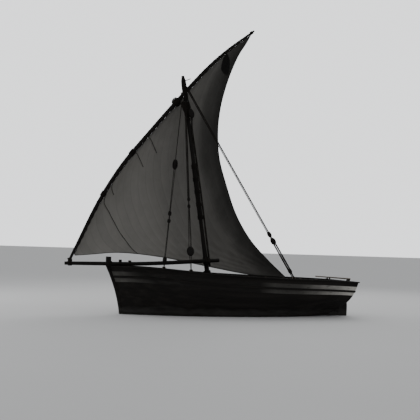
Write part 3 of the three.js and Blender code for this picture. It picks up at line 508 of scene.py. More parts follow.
# Colours of dried salt and of weed on the planks
SALT = (0.045, 0.044, 0.041)
WEED = (0.016, 0.019, 0.013)


def hull_timber(settings):
    """Near-black planking, dark oiled wood made darker still as painted shade, with weed and salt
    toward the waterline.
    """
    colour = settings.timber
    finish = Finish("oiled hull planks")
    grain = finish.noise(2.5, 6.0, 0.6, (0.7, 14, 14))
    fibre = finish.noise(3.0, 3.0, 0.7, (2, 70, 70))
    boards = finish.noise(2.0, 1.0, stretch=(0.16, 3.2, 3.2))
    tone = finish.tint(shade(colour, 0.55), shade(colour, 1.6), grain, 0.3, 0.72)
    tone = finish.tint(tone, shade(colour, 2.6), boards, 0.45, 0.7, 0.55)
    height = finish.axes(finish.place())["Z"]
    wet = finish.noise(1.6, 5.0, stretch=(1.2, 1.2, 5))
    tide = finish.math("ADD", height, finish.ramp(wet, 0.3, 0.7, -0.10, 0.10))
    salt = finish.ramp(tide, 0.28, 0.10, 0, 0.5)
    salt = finish.math("MULTIPLY", salt, finish.ramp(tide, -0.05, 0.09))
    tone = finish.blend(salt, tone, SALT)
    tone = finish.tint(tone, WEED, tide, 0.02, -0.06)
    normal = finish.bump(grain, 0.004, 0.6, finish.bump(fibre, 0.0012, 0.5))
    return finish.done(tone, finish.ramp(grain, 0.25, 0.75, 0.6, 0.9), normal, 0.14)


# Where the bands show their pale paint, and where painted shade turns them to the wood's dark tone,
# as ranges of x with the paint's share at each end. The range at the bow leans: its x has
# PAINT_LEAN times the height added.
PAINT_AFT = (-4.0, -0.9, 1.0, 0.0)
PAINT_MIDDLE = (-1.0, -0.5, 0.085, 0.0)
PAINT_FORE = (0.77, 1.80, 0.0, 0.13)
PAINT_LEAN = -1.9


def band_paint(settings):
    """Off-white paint, whole at the stern, darkened amidships to the wood's tone by painted shade,
    and chipped in places.
    """
    finish = Finish("worn band paint")
    axes = finish.axes(finish.place())
    along, height = axes["X"], axes["Z"]
    grain = finish.noise(2.5, 6.0, 0.62, (0.8, 16, 16))
    chips = finish.noise(2.6, 6.0, 0.7, (1.6, 9, 9))
    patches = finish.noise(1.5, 3.0, stretch=(0.55, 2, 2))
    dirt = finish.noise(3.0, 5.0, stretch=(2.4, 2.4, 0.9))
    # Painted shade: the pale paint shows at the stern and faintly at the bow, and darkens to the
    # wood's tone amidships, in patches
    leaning = finish.math("MULTIPLY_ADD", height, PAINT_LEAN, along)
    unshaded_share = finish.math("POWER", finish.ramp(along, *PAINT_AFT), 2.2)
    unshaded_share = finish.math("MAXIMUM", unshaded_share, finish.ramp(along, *PAINT_MIDDLE))
    unshaded_share = finish.math("MAXIMUM", unshaded_share, finish.ramp(leaning, *PAINT_FORE))
    unshaded_share = finish.math("ADD", unshaded_share, finish.ramp(patches, 0.55, 0.75, 0.002, 0.03))
    unshaded_share = finish.math("MULTIPLY", unshaded_share, finish.ramp(patches, 0.3, 0.7, 0.8, 1.15))
    bare = finish.ramp(chips, 0.60, 0.68, 0.0, 0.75)
    colour, timber = settings.paint, settings.timber
    timber = finish.tint(shade(timber, 0.6), shade(timber, 1.8), grain, 0.3, 0.7)
    paint = finish.tint(colour, shade(colour, 0.6), dirt, 0.4, 0.75, 0.4)
    paint = finish.tint(paint, shade(colour, 0.45), grain, 0.5, 0.75, 0.4)
    tone = finish.blend(bare, finish.blend(unshaded_share, timber, paint), timber)
    normal = finish.bump(bare, 0.0012, 0.8, finish.bump(grain, 0.003, 0.5))
    return finish.done(tone, finish.ramp(bare, 0, 1, 0.65, 0.8), normal, 0.14)


def rope_finish(colour):
    """Coir rope: fine hairs across the strands, and darker tarred stretches."""
    finish = Finish("tarred rope")
    hairs = finish.noise(160.0, 2.0, 0.8)
    tar = finish.noise(1.6, 3.0)
    tone = finish.tint(shade(colour, 0.5), shade(colour, 1.7), hairs, 0.3, 0.7)
    tone = finish.tint(tone, shade(colour, 0.45), tar, 0.4, 0.7, 0.6)
    return finish.done(tone, 0.92, finish.bump(hairs, 0.0015, 0.7), 0.1)


def forged_iron():
    """Black forged iron with rust in its hollows."""
    finish = Finish("forged iron")
    pits = finish.noise(40.0, 6.0, 0.7)
    rust = finish.noise(7.0, 5.0, 0.6)
    tone = finish.tint((0.045, 0.042, 0.040), (0.12, 0.055, 0.028), rust, 0.45, 0.62)
    finish.put(finish.shader.inputs["Metallic"], finish.ramp(rust, 0.62, 0.45, 0.1, 0.8))
    return finish.done(tone, finish.ramp(pits, 0.3, 0.7, 0.55, 0.9), finish.bump(pits, 0.001, 0.8))


# Shares of the sail's head between which painted shade darkens the cloths aft, and how much of them
# turns dark
SAIL_SHADE = [(0.48, 0.93, 0.58), (0.87, 0.985, 0.80)]

# Share of the light that passes through the canvas
SAIL_THROUGH = 0.3


def canvas_finish(settings):
    """Sewn canvas: cloths of different tone, seams, stains, painted shade that darkens the cloths
    aft and over the leech hem, and weave.
    """
    finish = Finish("weathered canvas")
    colour = settings.canvas
    coordinates = finish.add("ShaderNodeTexCoord").outputs["UV"]
    axes = finish.axes(coordinates)
    p, q = axes["X"], axes["Y"]
    cloth = finish.math("MULTIPLY", p, float(settings.panels))
    inputs = {"W": finish.math("FLOOR", cloth)}
    random = finish.add("ShaderNodeTexWhiteNoise", inputs, noise_dimensions="1D")
    stains = finish.noise(0.9, 6.0, 0.62, (1, 1, 0.45))
    clouds = finish.noise(3.6, 5.0, 0.6)
    tone = finish.blend(random.outputs["Value"], shade(colour, 0.94), shade(colour, 1.06))
    tone = finish.tint(tone, shade(colour, 0.78), stains, 0.35, 0.7, 0.7)
    tone = finish.tint(tone, shade(colour, 1.18), clouds, 0.35, 0.75, 0.35)
    tone = finish.tint(tone, shade(colour, 0.5), finish.math("FRACT", cloth), 0.075, 0.06, 0.22)
    # Painted shade: the cloths darken aft, most of all toward the leech
    aft = finish.math("ADD", p, finish.ramp(stains, 0.3, 0.7, -0.02, 0.02))
    for low, high, most in SAIL_SHADE:
        tone = finish.tint(tone, shade(colour, 0.06), aft, low, high, most)
    # Darker bands along the head, foot and luff: a stained hem, and along the head a wider band of
    # painted shade
    rim = finish.math("MAXIMUM", finish.ramp(q, 0.07, 0.0), finish.ramp(q, 0.975, 0.99))
    rim = finish.math("MAXIMUM", rim, finish.ramp(p, 0.03, 0.0))
    tone = finish.blend(finish.math("MULTIPLY", rim, 0.4), tone, shade(colour, 0.2))
    tone = finish.blend(sail_patch(finish, coordinates, clouds), tone, shade(colour, 0.03))
    weave = []
    for direction in ("X", "Z"):
        inputs = {"Vector": finish.place(), "Scale": 130.0, "Distortion": 0.6}
        wave = finish.add("ShaderNodeTexWave", inputs, bands_direction=direction)
        weave.append(wave.outputs["Fac"])
    creases = finish.noise(5.0, 5.0, stretch=(1, 1, 0.5))
    normal = finish.bump(finish.math("MULTIPLY", *weave), 0.0008, 0.4)
    normal = finish.bump(creases, 0.02, 0.35, normal)
    finish.done(tone, 0.9, normal, 0.2)
    through = finish.add("ShaderNodeBsdfTranslucent", {"Color": tone, "Normal": normal})
    inputs = {0: SAIL_THROUGH, 1: finish.shader.outputs[0], 2: through.outputs[0]}
    mixed = finish.add("ShaderNodeMixShader", inputs)
    finish.put(finish.tree.nodes["Material Output"].inputs["Surface"], mixed.outputs[0])
    return finish.material


def sail_patch(finish, coordinates, wobble):
    """How far a place lies in the dark patch across the cloths below the peak."""
    inputs = {
        "Vector": coordinates,
        "Location": (*PATCH_AT, 0),
        "Rotation": (0, 0, PATCH_TURN),
        "Scale": (*PATCH_HALF, 1),
    }
    local = finish.add("ShaderNodeMapping", inputs, vector_type="TEXTURE").outputs[0]
    far = finish.add("ShaderNodeVectorMath", {0: local}, operation="LENGTH").outputs["Value"]
    far = finish.math("ADD", far, finish.ramp(wobble, 0.3, 0.7, -0.12, 0.12))
    return finish.ramp(far, 1.05, 0.9)


FINISHES = {}


def make_finishes(scene):
    hull, rig = scene.dhow_hull, scene.dhow_rig
    FINISHES["hull"] = hull_timber(hull)
    FINISHES["pale"] = band_paint(hull)
    FINISHES["deck"] = wood("weathered deck", hull.deck, sheen=0.3)
    FINISHES["across"] = wood("weathered thwarts", hull.deck, turn_onto_x((0, 1, 0)), sheen=0.3)
    FINISHES["frames"] = wood("oiled frames", shade(hull.deck, 0.6), turn_onto_x((0, 0.3, 1)))
    FINISHES["mast"] = wood("oiled mast", rig.spar, turn_onto_x(MAST_AXIS))
    sprit = Vector(SPRIT_LINE[-1][0]) - Vector(SPRIT_LINE[0][0])
    FINISHES["sprit"] = wood("oiled bowsprit", rig.spar, turn_onto_x(sprit))
    yard = Vector(YARD_LINE[-1]) - Vector(YARD_LINE[0])
    FINISHES["yard"] = wood("oiled yard", rig.spar, turn_onto_x(yard))
    FINISHES["rope"] = rope_finish(rig.rope)
    FINISHES["iron"] = forged_iron()
    FINISHES["sail"] = canvas_finish(rig)


# Making pieces


def body_of(node):
    return NODES[node]["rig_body"]


def finish_piece(piece, body, look, replaced=()):
    """Gives a piece its material, its body and what it stands for."""
    piece.data.materials.clear()
    piece.data.materials.append(FINISHES[look])
    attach(piece, body)
    if replaced:
        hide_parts(*replaced)
    return piece


def object_from(mesh_tool, name, smooth_angle=math.radians(35)):
    """Turns a bmesh into an object at the origin, smooth except over sharp edges."""
    mesh = bpy.data.meshes.new(name)
    mesh_tool.to_mesh(mesh)
    mesh_tool.free()
    piece = bpy.data.objects.new(name, mesh)
    bpy.context.scene.collection.objects.link(piece)
    mesh.shade_smooth()
    mesh.set_sharp_from_angle(angle=smooth_angle)
    return piece


def merged_copy(node):
    """A bmesh of a CAD node with its loose triangles joined into shared faces."""
    tool = bmesh.new()
    tool.from_mesh(NODES[node].data)
    bmesh.ops.remove_doubles(tool, verts=tool.verts, dist=1e-5)
    return tool


def quads(tool, bend=math.radians(30)):
    bmesh.ops.join_triangles(
        tool,
        faces=tool.faces,
        angle_face_threshold=bend,
        angle_shape_threshold=math.radians(60),
    )


def dissolved(tool):
    """Joins the faces that lie flat with each other, to within a degree."""
    bmesh.ops.dissolve_limit(
        tool,
        angle_limit=math.radians(1),
        use_dissolve_boundaries=False,
        verts=tool.verts,
        edges=tool.edges,
    )


def bisected(tool, place, normal, clear=False):
    """Cuts a bmesh along a plane, and returns the edges of the cut."""
    made = bmesh.ops.bisect_plane(
        tool,
        geom=[*tool.verts, *tool.edges, *tool.faces],
        plane_co=place,
        plane_no=normal,
        clear_outer=clear,
    )
    return [part for part in made["geom_cut"] if isinstance(part, bmesh.types.BMEdge)]


def rounded(tool, edges, width, segments=2):
    """Rounds edges of a bmesh, and returns the faces that this makes."""
    made = bmesh.ops.bevel(
        tool,
        geom=edges,
        offset=width,
        offset_type="OFFSET",
        segments=segments,
        profile=0.5,
        affect="EDGES",
        clamp_overlap=True,
        material=-1,
    )
    return made["faces"]


def closed_loop(tool, points):
    """Adds a closed loop of edges through points to a bmesh."""
    verts = [tool.verts.new(point) for point in points]
    return [tool.edges.new((verts[i - 1], verts[i])) for i in range(len(verts))]


def bridged(tool, rings):
    """Bridges rings of points into a solid, closed at both ends."""
    made = [closed_loop(tool, ring) for ring in rings]
    for lower, upper in zip(made, made[1:]):
        bmesh.ops.bridge_loops(tool, edges=lower + upper)
    for end in (made[0], made[-1]):
        bmesh.ops.holes_fill(tool, edges=end, sides=0)
    bmesh.ops.recalc_face_normals(tool, faces=tool.faces)


def stood(middle, direction):
    """A matrix that turns Z onto a direction and moves the origin to a middle."""
    turn = Vector((0, 0, 1)).rotation_difference(direction).to_matrix().to_4x4()
    return Matrix.Translation(middle) @ turn


def add_bevel(piece, width, segments=2, angle=math.radians(32)):
    bevel = piece.modifiers.new("worn edges", "BEVEL")
    bevel.width = width
    bevel.segments = segments
    bevel.limit_method = "ANGLE"
    bevel.angle_limit = angle


def add_subdivision(piece):
    smooth = piece.modifiers.new("fair curve", "SUBSURF")
    smooth.levels = 2
    smooth.render_levels = 2


def piece_name(node):
    return node.replace("-", "_")


def timber_piece(node, look, bevel):
    """A timber with its flat faces whole and its edges worn round."""
    tool = merged_copy(node)
    dissolved(tool)
    piece = object_from(tool, piece_name(node))
    add_bevel(piece, bevel)
    return finish_piece(piece, body_of(node), look, [node])


# The hull

# A seam in the planking: how far lengthwise its edge runs, how alike its two faces look, how far
# they look out or else down, and how far inward they may look at most
SEAM_LENGTHWISE = 0.75
SEAM_ALIKE = 0.8
SEAM_OUT = 0.25
SEAM_DOWN = -0.3
SEAM_INWARD = -0.05


def seam_edges(tool, side):
    """Lengthwise edges on the outside of a strip of planking, between two of its planks."""
    found = []
    for edge in tool.edges:
        if len(edge.link_faces) != 2:
            continue
        a, b = (face.normal for face in edge.link_faces)
        line = (edge.verts[1].co - edge.verts[0].co).normalized()
        out = a.y * side
        outside = out > SEAM_INWARD and (out > SEAM_OUT or a.z < SEAM_DOWN)
        if abs(line.x) > SEAM_LENGTHWISE and a.dot(b) > SEAM_ALIKE and outside:
            found.append(edge)
    return found


def crease_sharp(tool, angle=math.radians(38)):
    layer = tool.edges.layers.float.new("crease_edge")
    for edge in tool.edges:
        if len(edge.link_faces) == 2 and edge.calc_face_angle() > angle:
            edge[layer] = 1.0


class DHOW_OT_planking(bpy.types.Operator):
    """Plank both sides with faired strakes, grooved at their seams"""

    bl_idname = "dhow.planking"
    bl_label = "Planking"

    def execute(self, context):
        settings = context.scene.dhow_hull
        kinds = {
            "sheer-strake": "hull",
            "upper-pale-strake": "pale",
            "rub-rail": "hull",
            "lower-pale-strake": "pale",
            "side-planking": "hull",
            "bottom-planking": "hull",
            "cap-rail": "hull",
        }
        for side_name, side in SIDES.items():
            for kind, slot in kinds.items():
                for node in NODES:
                    if node.startswith(kind) and node.endswith(side_name):
                        self.strake(node, kind, slot, side, settings)
        return {"FINISHED"}

    def strake(self, node, kind, slot, side, settings):
        tool = merged_copy(node)
        quads(tool)
        tool.normal_update()
        if kind in ("side-planking", "bottom-planking"):
            self.groove(tool, side, settings)
        tool.normal_update()
        crease_sharp(tool)
        piece = object_from(tool, piece_name(node))
        add_subdivision(piece)
        add_bevel(piece, settings.edge * 0.7, 2, math.radians(50))
        finish_piece(piece, "hull", slot, [node])

    def groove(self, tool, side, settings):
        """Rounds each seam open and sinks the middle of the rounding into the planks."""
        made = rounded(tool, seam_edges(tool, side), settings.seam / 2)
        tool.normal_update()
        ring = {face for face in made if face.is_valid}
        for vert in {vert for face in ring for vert in face.verts}:
            inside = [face for face in vert.link_faces if face in ring]
            if len(inside) >= 4 and len(inside) == len(vert.link_faces):
                vert.co -= vert.normal * settings.seam_depth


class DHOW_OT_timbers(bpy.types.Operator):
    """Shape keel, stem, frames, thwarts and the other timbers with worn edges"""

    bl_idname = "dhow.timbers"
    bl_label = "Timbers"

    def execute(self, context):
        edge = context.scene.dhow_hull.edge
        for node in ("keel", "stem", "sternpost", "deadwood", "transom-cap"):
            timber_piece(node, "hull", edge * 1.5)
        timber_piece("transom", "hull", edge * 0.5)
        for node in ("keelson", "mast-step"):
            timber_piece(node, "deck", edge)
        for node in ("aft-deck-beam", "fore-deck-beam", "mast-thwart", "fore-thwart"):
            timber_piece(node, "across", edge)
        for node in ("bow-post-1", "bow-post-2"):
            timber_piece(node, "mast", edge * 2)
        for side_name in SIDES:
            for part in ("aft", "middle", "fore"):
                timber_piece(f"frames-{part}-{side_name}", "frames", edge * 0.8)
        return {"FINISHED"}


# Half the gap between two boards
BOARD_GAP = 0.0025


class DHOW_OT_decks(bpy.types.Operator):
    """Lay the decks and the floor as separate boards"""

    bl_idname = "dhow.decks"
    bl_label = "Decks"

    def execute(self, context):
        settings = context.scene.dhow_hull
        for node in ("aft-deck", "fore-deck", "floorboards"):
            self.lay(node, settings)
        return {"FINISHED"}

    def lay(self, node, settings):
        low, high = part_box(node)
        count = max(round((high.y - low.y) / settings.board), 3)
        width = (high.y - low.y) / count
        whole = bmesh.new()
        for i in range(count):
            edge = low.y + i * width
            board = merged_copy(node)
            for y, out in ((edge + BOARD_GAP, -1), (edge + width - BOARD_GAP, 1)):
                rim = bisected(board, (0, y, 0), (0, out, 0), clear=True)
                bmesh.ops.holes_fill(board, edges=rim, sides=0)
            dissolved(board)
            part = bpy.data.meshes.new("board")
            board.to_mesh(part)
            board.free()
            whole.from_mesh(part)
            bpy.data.meshes.remove(part)
        piece = object_from(whole, piece_name(node))
        add_bevel(piece, settings.edge * 0.4, 1)
        finish_piece(piece, "hull", "deck", [node])


# Spars


def share_value(table, share):
    return float(np.interp(share, [row[0] for row in table], [row[1] for row in table]))


# Points of a curve between two of its knots, and in all once they are evenly spaced
CURVE_STEPS = 60
CURVE_POINTS = 2000


def even_points(points, count):
    """A path's points spaced evenly along it, and the distance of each from its start."""
    steps = np.linalg.norm(np.diff(points, axis=0), axis=1)
    lengths = np.concatenate([[0], np.cumsum(steps)])
    even = np.linspace(0, lengths[-1], count)
    return np.stack([np.interp(even, lengths, points[:, k]) for k in range(3)], axis=1), even


def catmull(points):
    """Points along a centripetal curve through the given points, evenly spaced."""
    knots = [np.array(point, float) for point in points]
    ends = [2 * knots[0] - knots[1], *knots, 2 * knots[-1] - knots[-2]]
    dense = []
    for i in range(1, len(ends) - 2):
        p0, p1, p2, p3 = ends[i - 1 : i + 3]
        t0 = 0.0
        t1 = t0 + math.sqrt(np.linalg.norm(p1 - p0))
        t2 = t1 + math.sqrt(np.linalg.norm(p2 - p1))
        t3 = t2 + math.sqrt(np.linalg.norm(p3 - p2))
        for t in np.linspace(t1, t2, CURVE_STEPS, endpoint=i == len(ends) - 3):
            a1 = (t1 - t) / (t1 - t0) * p0 + (t - t0) / (t1 - t0) * p1
            a2 = (t2 - t) / (t2 - t1) * p1 + (t - t1) / (t2 - t1) * p2
            a3 = (t3 - t) / (t3 - t2) * p2 + (t - t2) / (t3 - t2) * p3
            b1 = (t2 - t) / (t2 - t0) * a1 + (t - t0) / (t2 - t0) * a2
            b2 = (t3 - t) / (t3 - t1) * a2 + (t - t1) / (t3 - t1) * a3
            dense.append((t2 - t) / (t2 - t1) * b1 + (t - t1) / (t2 - t1) * b2)
    return even_points(np.array(dense), CURVE_POINTS)[0]


class Line:
    """A curve through points, read by its share of the length."""

    def __init__(self, points):
        self.dense = catmull(points)

    def at(self, share):
        place = min(max(share, 0.0), 1.0) * (len(self.dense) - 1)
        i = min(int(place), len(self.dense) - 2)
        return Vector(self.dense[i] + (self.dense[i + 1] - self.dense[i]) * (place - i))

    def along(self, share):
        return (self.at(share + 0.003) - self.at(share - 0.003)).normalized()

    def points(self, count):
        return [self.at(share) for share in np.linspace(0, 1, count)]


YARD = Line(YARD_LINE)
TACK_TO_SLING = (SLING_AT - TACK_AT).normalized()
SLING_SHARE = min(np.linspace(0, 1, 2001), key=lambda share: (YARD.at(share) - SLING_AT).length)


def mast_share(z):
    return (z - MAST[0].z) / (MAST[1].z - MAST[0].z)


def mast_at(z):
    return MAST[0].lerp(MAST[1], mast_share(z))


def mast_radius(z):
    return share_value(MAST_RADII, mast_share(z))


def sprit_at(x):
    """The bowsprit's middle, direction and half thickness at a place along the boat."""
    ends = zip(SPRIT_LINE, SPRIT_LINE[1:])
    (ahead, thick), (behind, thin) = next(pair for pair in ends if pair[1][0][0] <= x)
    ahead, behind = Vector(ahead), Vector(behind)
    share = (ahead.x - x) / (ahead.x - behind.x)
    return ahead.lerp(behind, share), (behind - ahead).normalized(), thick + (thin - thick) * share


class DHOW_OT_spars(bpy.types.Operator):
    """Round the mast, bowsprit, yard and tiller, each a little out of true"""

    bl_idname = "dhow.spars"
    bl_label = "Spars"

    def execute(self, context):
        for node, look in (("mast", "mast"), ("bowsprit", "sprit"), ("tiller", "across")):
            self.fair(node, look)
        for node in ("lower-yard", "upper-yard"):
            self.fair(node, "yard")
        self.splints()
        return {"FINISHED"}

    def fair(self, node, look):
        tool = merged_copy(node)
        if node == "mast":
            self.make_room(tool)
        quads(tool, math.radians(20))
        crease_sharp(tool, math.radians(60))
        piece = object_from(tool, piece_name(node), math.radians(60))
        add_subdivision(piece)
        finish_piece(piece, body_of(node), look, [node])

    def make_room(self, tool):
        """Thins the mast where its splints are lashed on, by their thickness."""
        for vert in tool.verts:
            middle = mast_at(vert.co.z)
            out = vert.co - middle
            inside = SPLINTS[0] - 0.1 < vert.co.z < SPLINTS[1] + 0.1
            if inside and out.length > SPLINT_SEAT:
                vert.co = middle + out * (SPLINT_SEAT / out.length)

    def splints(self):
        """Long battens that fish the mast, rounded at their ends, under the wooldings."""
        low, high = mast_at(SPLINTS[0]), mast_at(SPLINTS[1])
        thick, wide = SPLINT
        tool = bmesh.new()
        for i in range(SPLINT_COUNT):
            verts = bmesh.ops.create_cube(tool, size=1.0)["verts"]
            shift = SPLINT_SHIFT * math.sin(2.4 * i)
            out = Vector((SPLINT_SEAT + thick / 2 - SPLINT_SUNK, 0, shift))
            bmesh.ops.scale(tool, vec=(thick, wide, (high - low).length), verts=verts)
            bmesh.ops.translate(tool, vec=out, verts=verts)
            around = Matrix.Rotation(2 * math.pi * i / SPLINT_COUNT, 4, "Z")
            matrix = stood((low + high) / 2, MAST_AXIS) @ around
            bmesh.ops.transform(tool, matrix=matrix, verts=verts)
        piece = object_from(tool, "mast_splints")
        add_bevel(piece, 0.006, 3)
        finish_piece(piece, "hull", "mast")
        runs = []
        for share in np.linspace(0, 1, WOOLDINGS):
            middle = low.lerp(high, 0.04 + 0.92 * share)
            radius = SPLINT_SEAT + thick + 0.005
            runs.append(turns(middle, MAST_AXIS, radius, 6.4, 0.019, 20, 2.0 * share))
        rope_object("mast_wooldings", runs, ROPES["woolding"], "hull", sides=1)


# Rope

# A strand's half thickness and distance from the rope's middle, as shares of half the rope's
STRAND_RADIUS = 0.56
STRAND_OUT = 0.46


def rope_object(name, runs, radius, body, replaced=(), strands=3, sides=2, twist=7.0):
    """Laid rope along one or more runs of points: strands wound round each run's middle."""
    curve = bpy.data.curves.new(name, "CURVE")
    curve.dimensions = "3D"
    curve.bevel_depth = radius * (STRAND_RADIUS if strands > 1 else 1.0)
    curve.bevel_resolution = sides - 1
    curve.use_fill_caps = True
    for run in runs:
        points = np.array([tuple(point) for point in run], float)
        length = np.linalg.norm(np.diff(points, axis=0), axis=1).sum()
        if strands == 1:
            count = max(min(int(length / (radius * 3)) + 1, len(points) * 4), 3)
            add_spline(curve, even_points(points, count)[0])
            continue
        count = max(int(length / (radius * twist / 7)) + 1, 3)
        middle, even = even_points(points, count)
        tangent = np.gradient(middle, axis=0)
        tangent /= np.linalg.norm(tangent, axis=1)[:, None]
        side, up = carried_axes(tangent)
        for strand in range(strands):
            turn = even / (radius * twist) * 2 * math.pi + strand * 2 * math.pi / strands
            offset = side * np.cos(turn)[:, None] + up * np.sin(turn)[:, None]
            add_spline(curve, middle + offset * radius * STRAND_OUT)
    piece = bpy.data.objects.new(name, curve)
    bpy.context.scene.collection.objects.link(piece)
    return finish_piece(piece, body, "rope", replaced)


def carried_axes(tangent):
    """Two axes square to a path, carried along it without spinning."""
    start = np.cross(tangent[0], (0.0, 1.0, 0.0))
    if np.linalg.norm(start) < 0.2:
        start = np.cross(tangent[0], (1.0, 0.0, 0.0))
    side = [start / np.linalg.norm(start)]
    for direction in tangent[1:]:
        carried = side[-1] - direction * np.dot(side[-1], direction)
        side.append(carried / np.linalg.norm(carried))
    side = np.array(side)
    return side, np.cross(tangent, side)


def add_spline(curve, points):
    spline = curve.splines.new("POLY")
    spline.points.add(len(points) - 1)
    flat = np.ones((len(points), 4))
    flat[:, :3] = points
    spline.points.foreach_set("co", flat.ravel())


def loops(centre, climb, wide, deep, count, steps=24, start=0.0):
    """Points of turns of rope round a centre, which climb a little from one to the next."""
    points = []
    for i in range(int(count * steps) + 1):
        turn = start + 2 * math.pi * i / steps
        reach = wide * math.cos(turn) + deep * math.sin(turn)
        points.append(centre + climb * (i / steps - count / 2) + reach)
    return points


def turns(centre, axis, radius, count, pitch, steps=24, start=0.0):
    """Points of a coil of rope laid round an axis."""
    axis = Vector(axis).normalized()
    side = axis.cross(Vector((0, 1, 0)))
    if side.length < 0.2:
        side = axis.cross(Vector((1, 0, 0)))
    side.normalize()
    up = axis.cross(side).normalized()
    return loops(centre, axis * pitch, side * radius, up * radius, count, steps, start)


def mast_turns(z, off, count, pitch, steps=24, start=0.0):
    """Points of a coil round the mast at a height, its rope's middle that far off the wood."""
    return turns(mast_at(z), MAST_AXIS, mast_radius(z) + off, count, pitch, steps, start)


def oval(tool, wide, long, middle, thick, soft, shift=0.0):
    """An oval slab of wood standing across Y, with both rims rounded."""
    made = bmesh.ops.create_cone(
        tool, cap_ends=True, segments=20, radius1=0.5, radius2=0.5, depth=1.0
    )
    verts = made["verts"]
    bmesh.ops.rotate(tool, matrix=Matrix.Rotation(math.pi / 2, 3, "X"), verts=verts)
    bmesh.ops.scale(tool, vec=(wide, thick, long), verts=verts)
    bmesh.ops.translate(tool, vec=(0, middle, shift), verts=verts)
    caps = {face for vert in verts for face in vert.link_faces if len(face.verts) > 4}
    rounded(tool, [edge for face in caps for edge in face.edges], soft)


# A block's proportions. A cheek: its share of the block's thickness. A chock: its shares of the
# block's width and length, and how far from the middle it lies as a share of the length. The
# sheave: the shares of width and length that limit its size, and its share of the thickness.
# The pin: its own thickness and length as shares of the block's thickness.
BLOCK_CHEEK = 0.3
BLOCK_CHOCK = (0.8, 0.3, 0.32)
BLOCK_SHEAVE = (0.85, 0.5, 0.3)
BLOCK_PIN = (0.22, 1.08)


def block_tool(centre, along, length, width, thick):
    """A wooden block: two cheeks, a chock at each end, the sheave between them and its pin."""
    tool = bmesh.new()
    cheek = thick * BLOCK_CHEEK
    wide, long, off = BLOCK_CHOCK
    for side in (1, -1):
        oval(tool, width, length, side * (thick - cheek) / 2, cheek, cheek * 0.35)
        oval(tool, width * wide, length * long, 0, thick - cheek, 0.003, side * length * off)
    of_width, of_length, of_thickness = BLOCK_SHEAVE
    sheave = min(width * of_width, length * of_length)
    oval(tool, sheave, sheave, 0, thick * of_thickness, 0.002)
    pin, pin_length = (thick * share for share in BLOCK_PIN)
    oval(tool, pin, pin, 0, pin_length, 0.002)
    bmesh.ops.transform(tool, matrix=stood(centre, along), verts=tool.verts)
    return tool


# The sail's mesh: columns within one cloth, closer at its seam, and rows from head to foot
CLOTH_STEPS = (0.035, 0.07, 0.3, 0.54, 0.78, 1.0)
SAIL_ROWS = 110

# Thickness of doubled cloth, and the share of it that single cloth has
CLOTH_DOUBLED = 0.007
CLOTH_SINGLE = 0.4

# Where cloth is doubled: on seams, as a share of a cloth's width, and on the hems of the head,
# the foot and the leech
SEAM_DOUBLED = 0.071
HEAD_HEM = 0.012
FOOT_HEM = 0.985
LEECH_HEM = 0.995

# How far the doubled patches of clew and peak reach along head and depth, and the tack's along the
# head
CLEW_PATCH = (0.1, 0.067)
PEAK_PATCH = (0.07, 0.09)
TACK_PATCH = 0.08

# Depths of the sail's folds: the strain at each lacing, the rays out of the clew, the slack fold
# inside the leech and the billow of each cloth
STRAIN_DEPTH = 0.012
RAY_DEPTH = 0.014
SLACK_DEPTH = -0.05
BILLOW_DEPTH = 0.010

# Shares of the sail over which the scallops, the strain folds and the rays die away
SCALLOP_FADE = 0.035
STRAIN_FADE = 0.10
RAY_FADE = 0.35

# How closely the rays follow each other, and the slack fold's place, sway and half width along
# the head
RAYS = 26
SLACK_AT = 0.885
SLACK_SWAY = 0.03
SLACK_HALF = 0.022


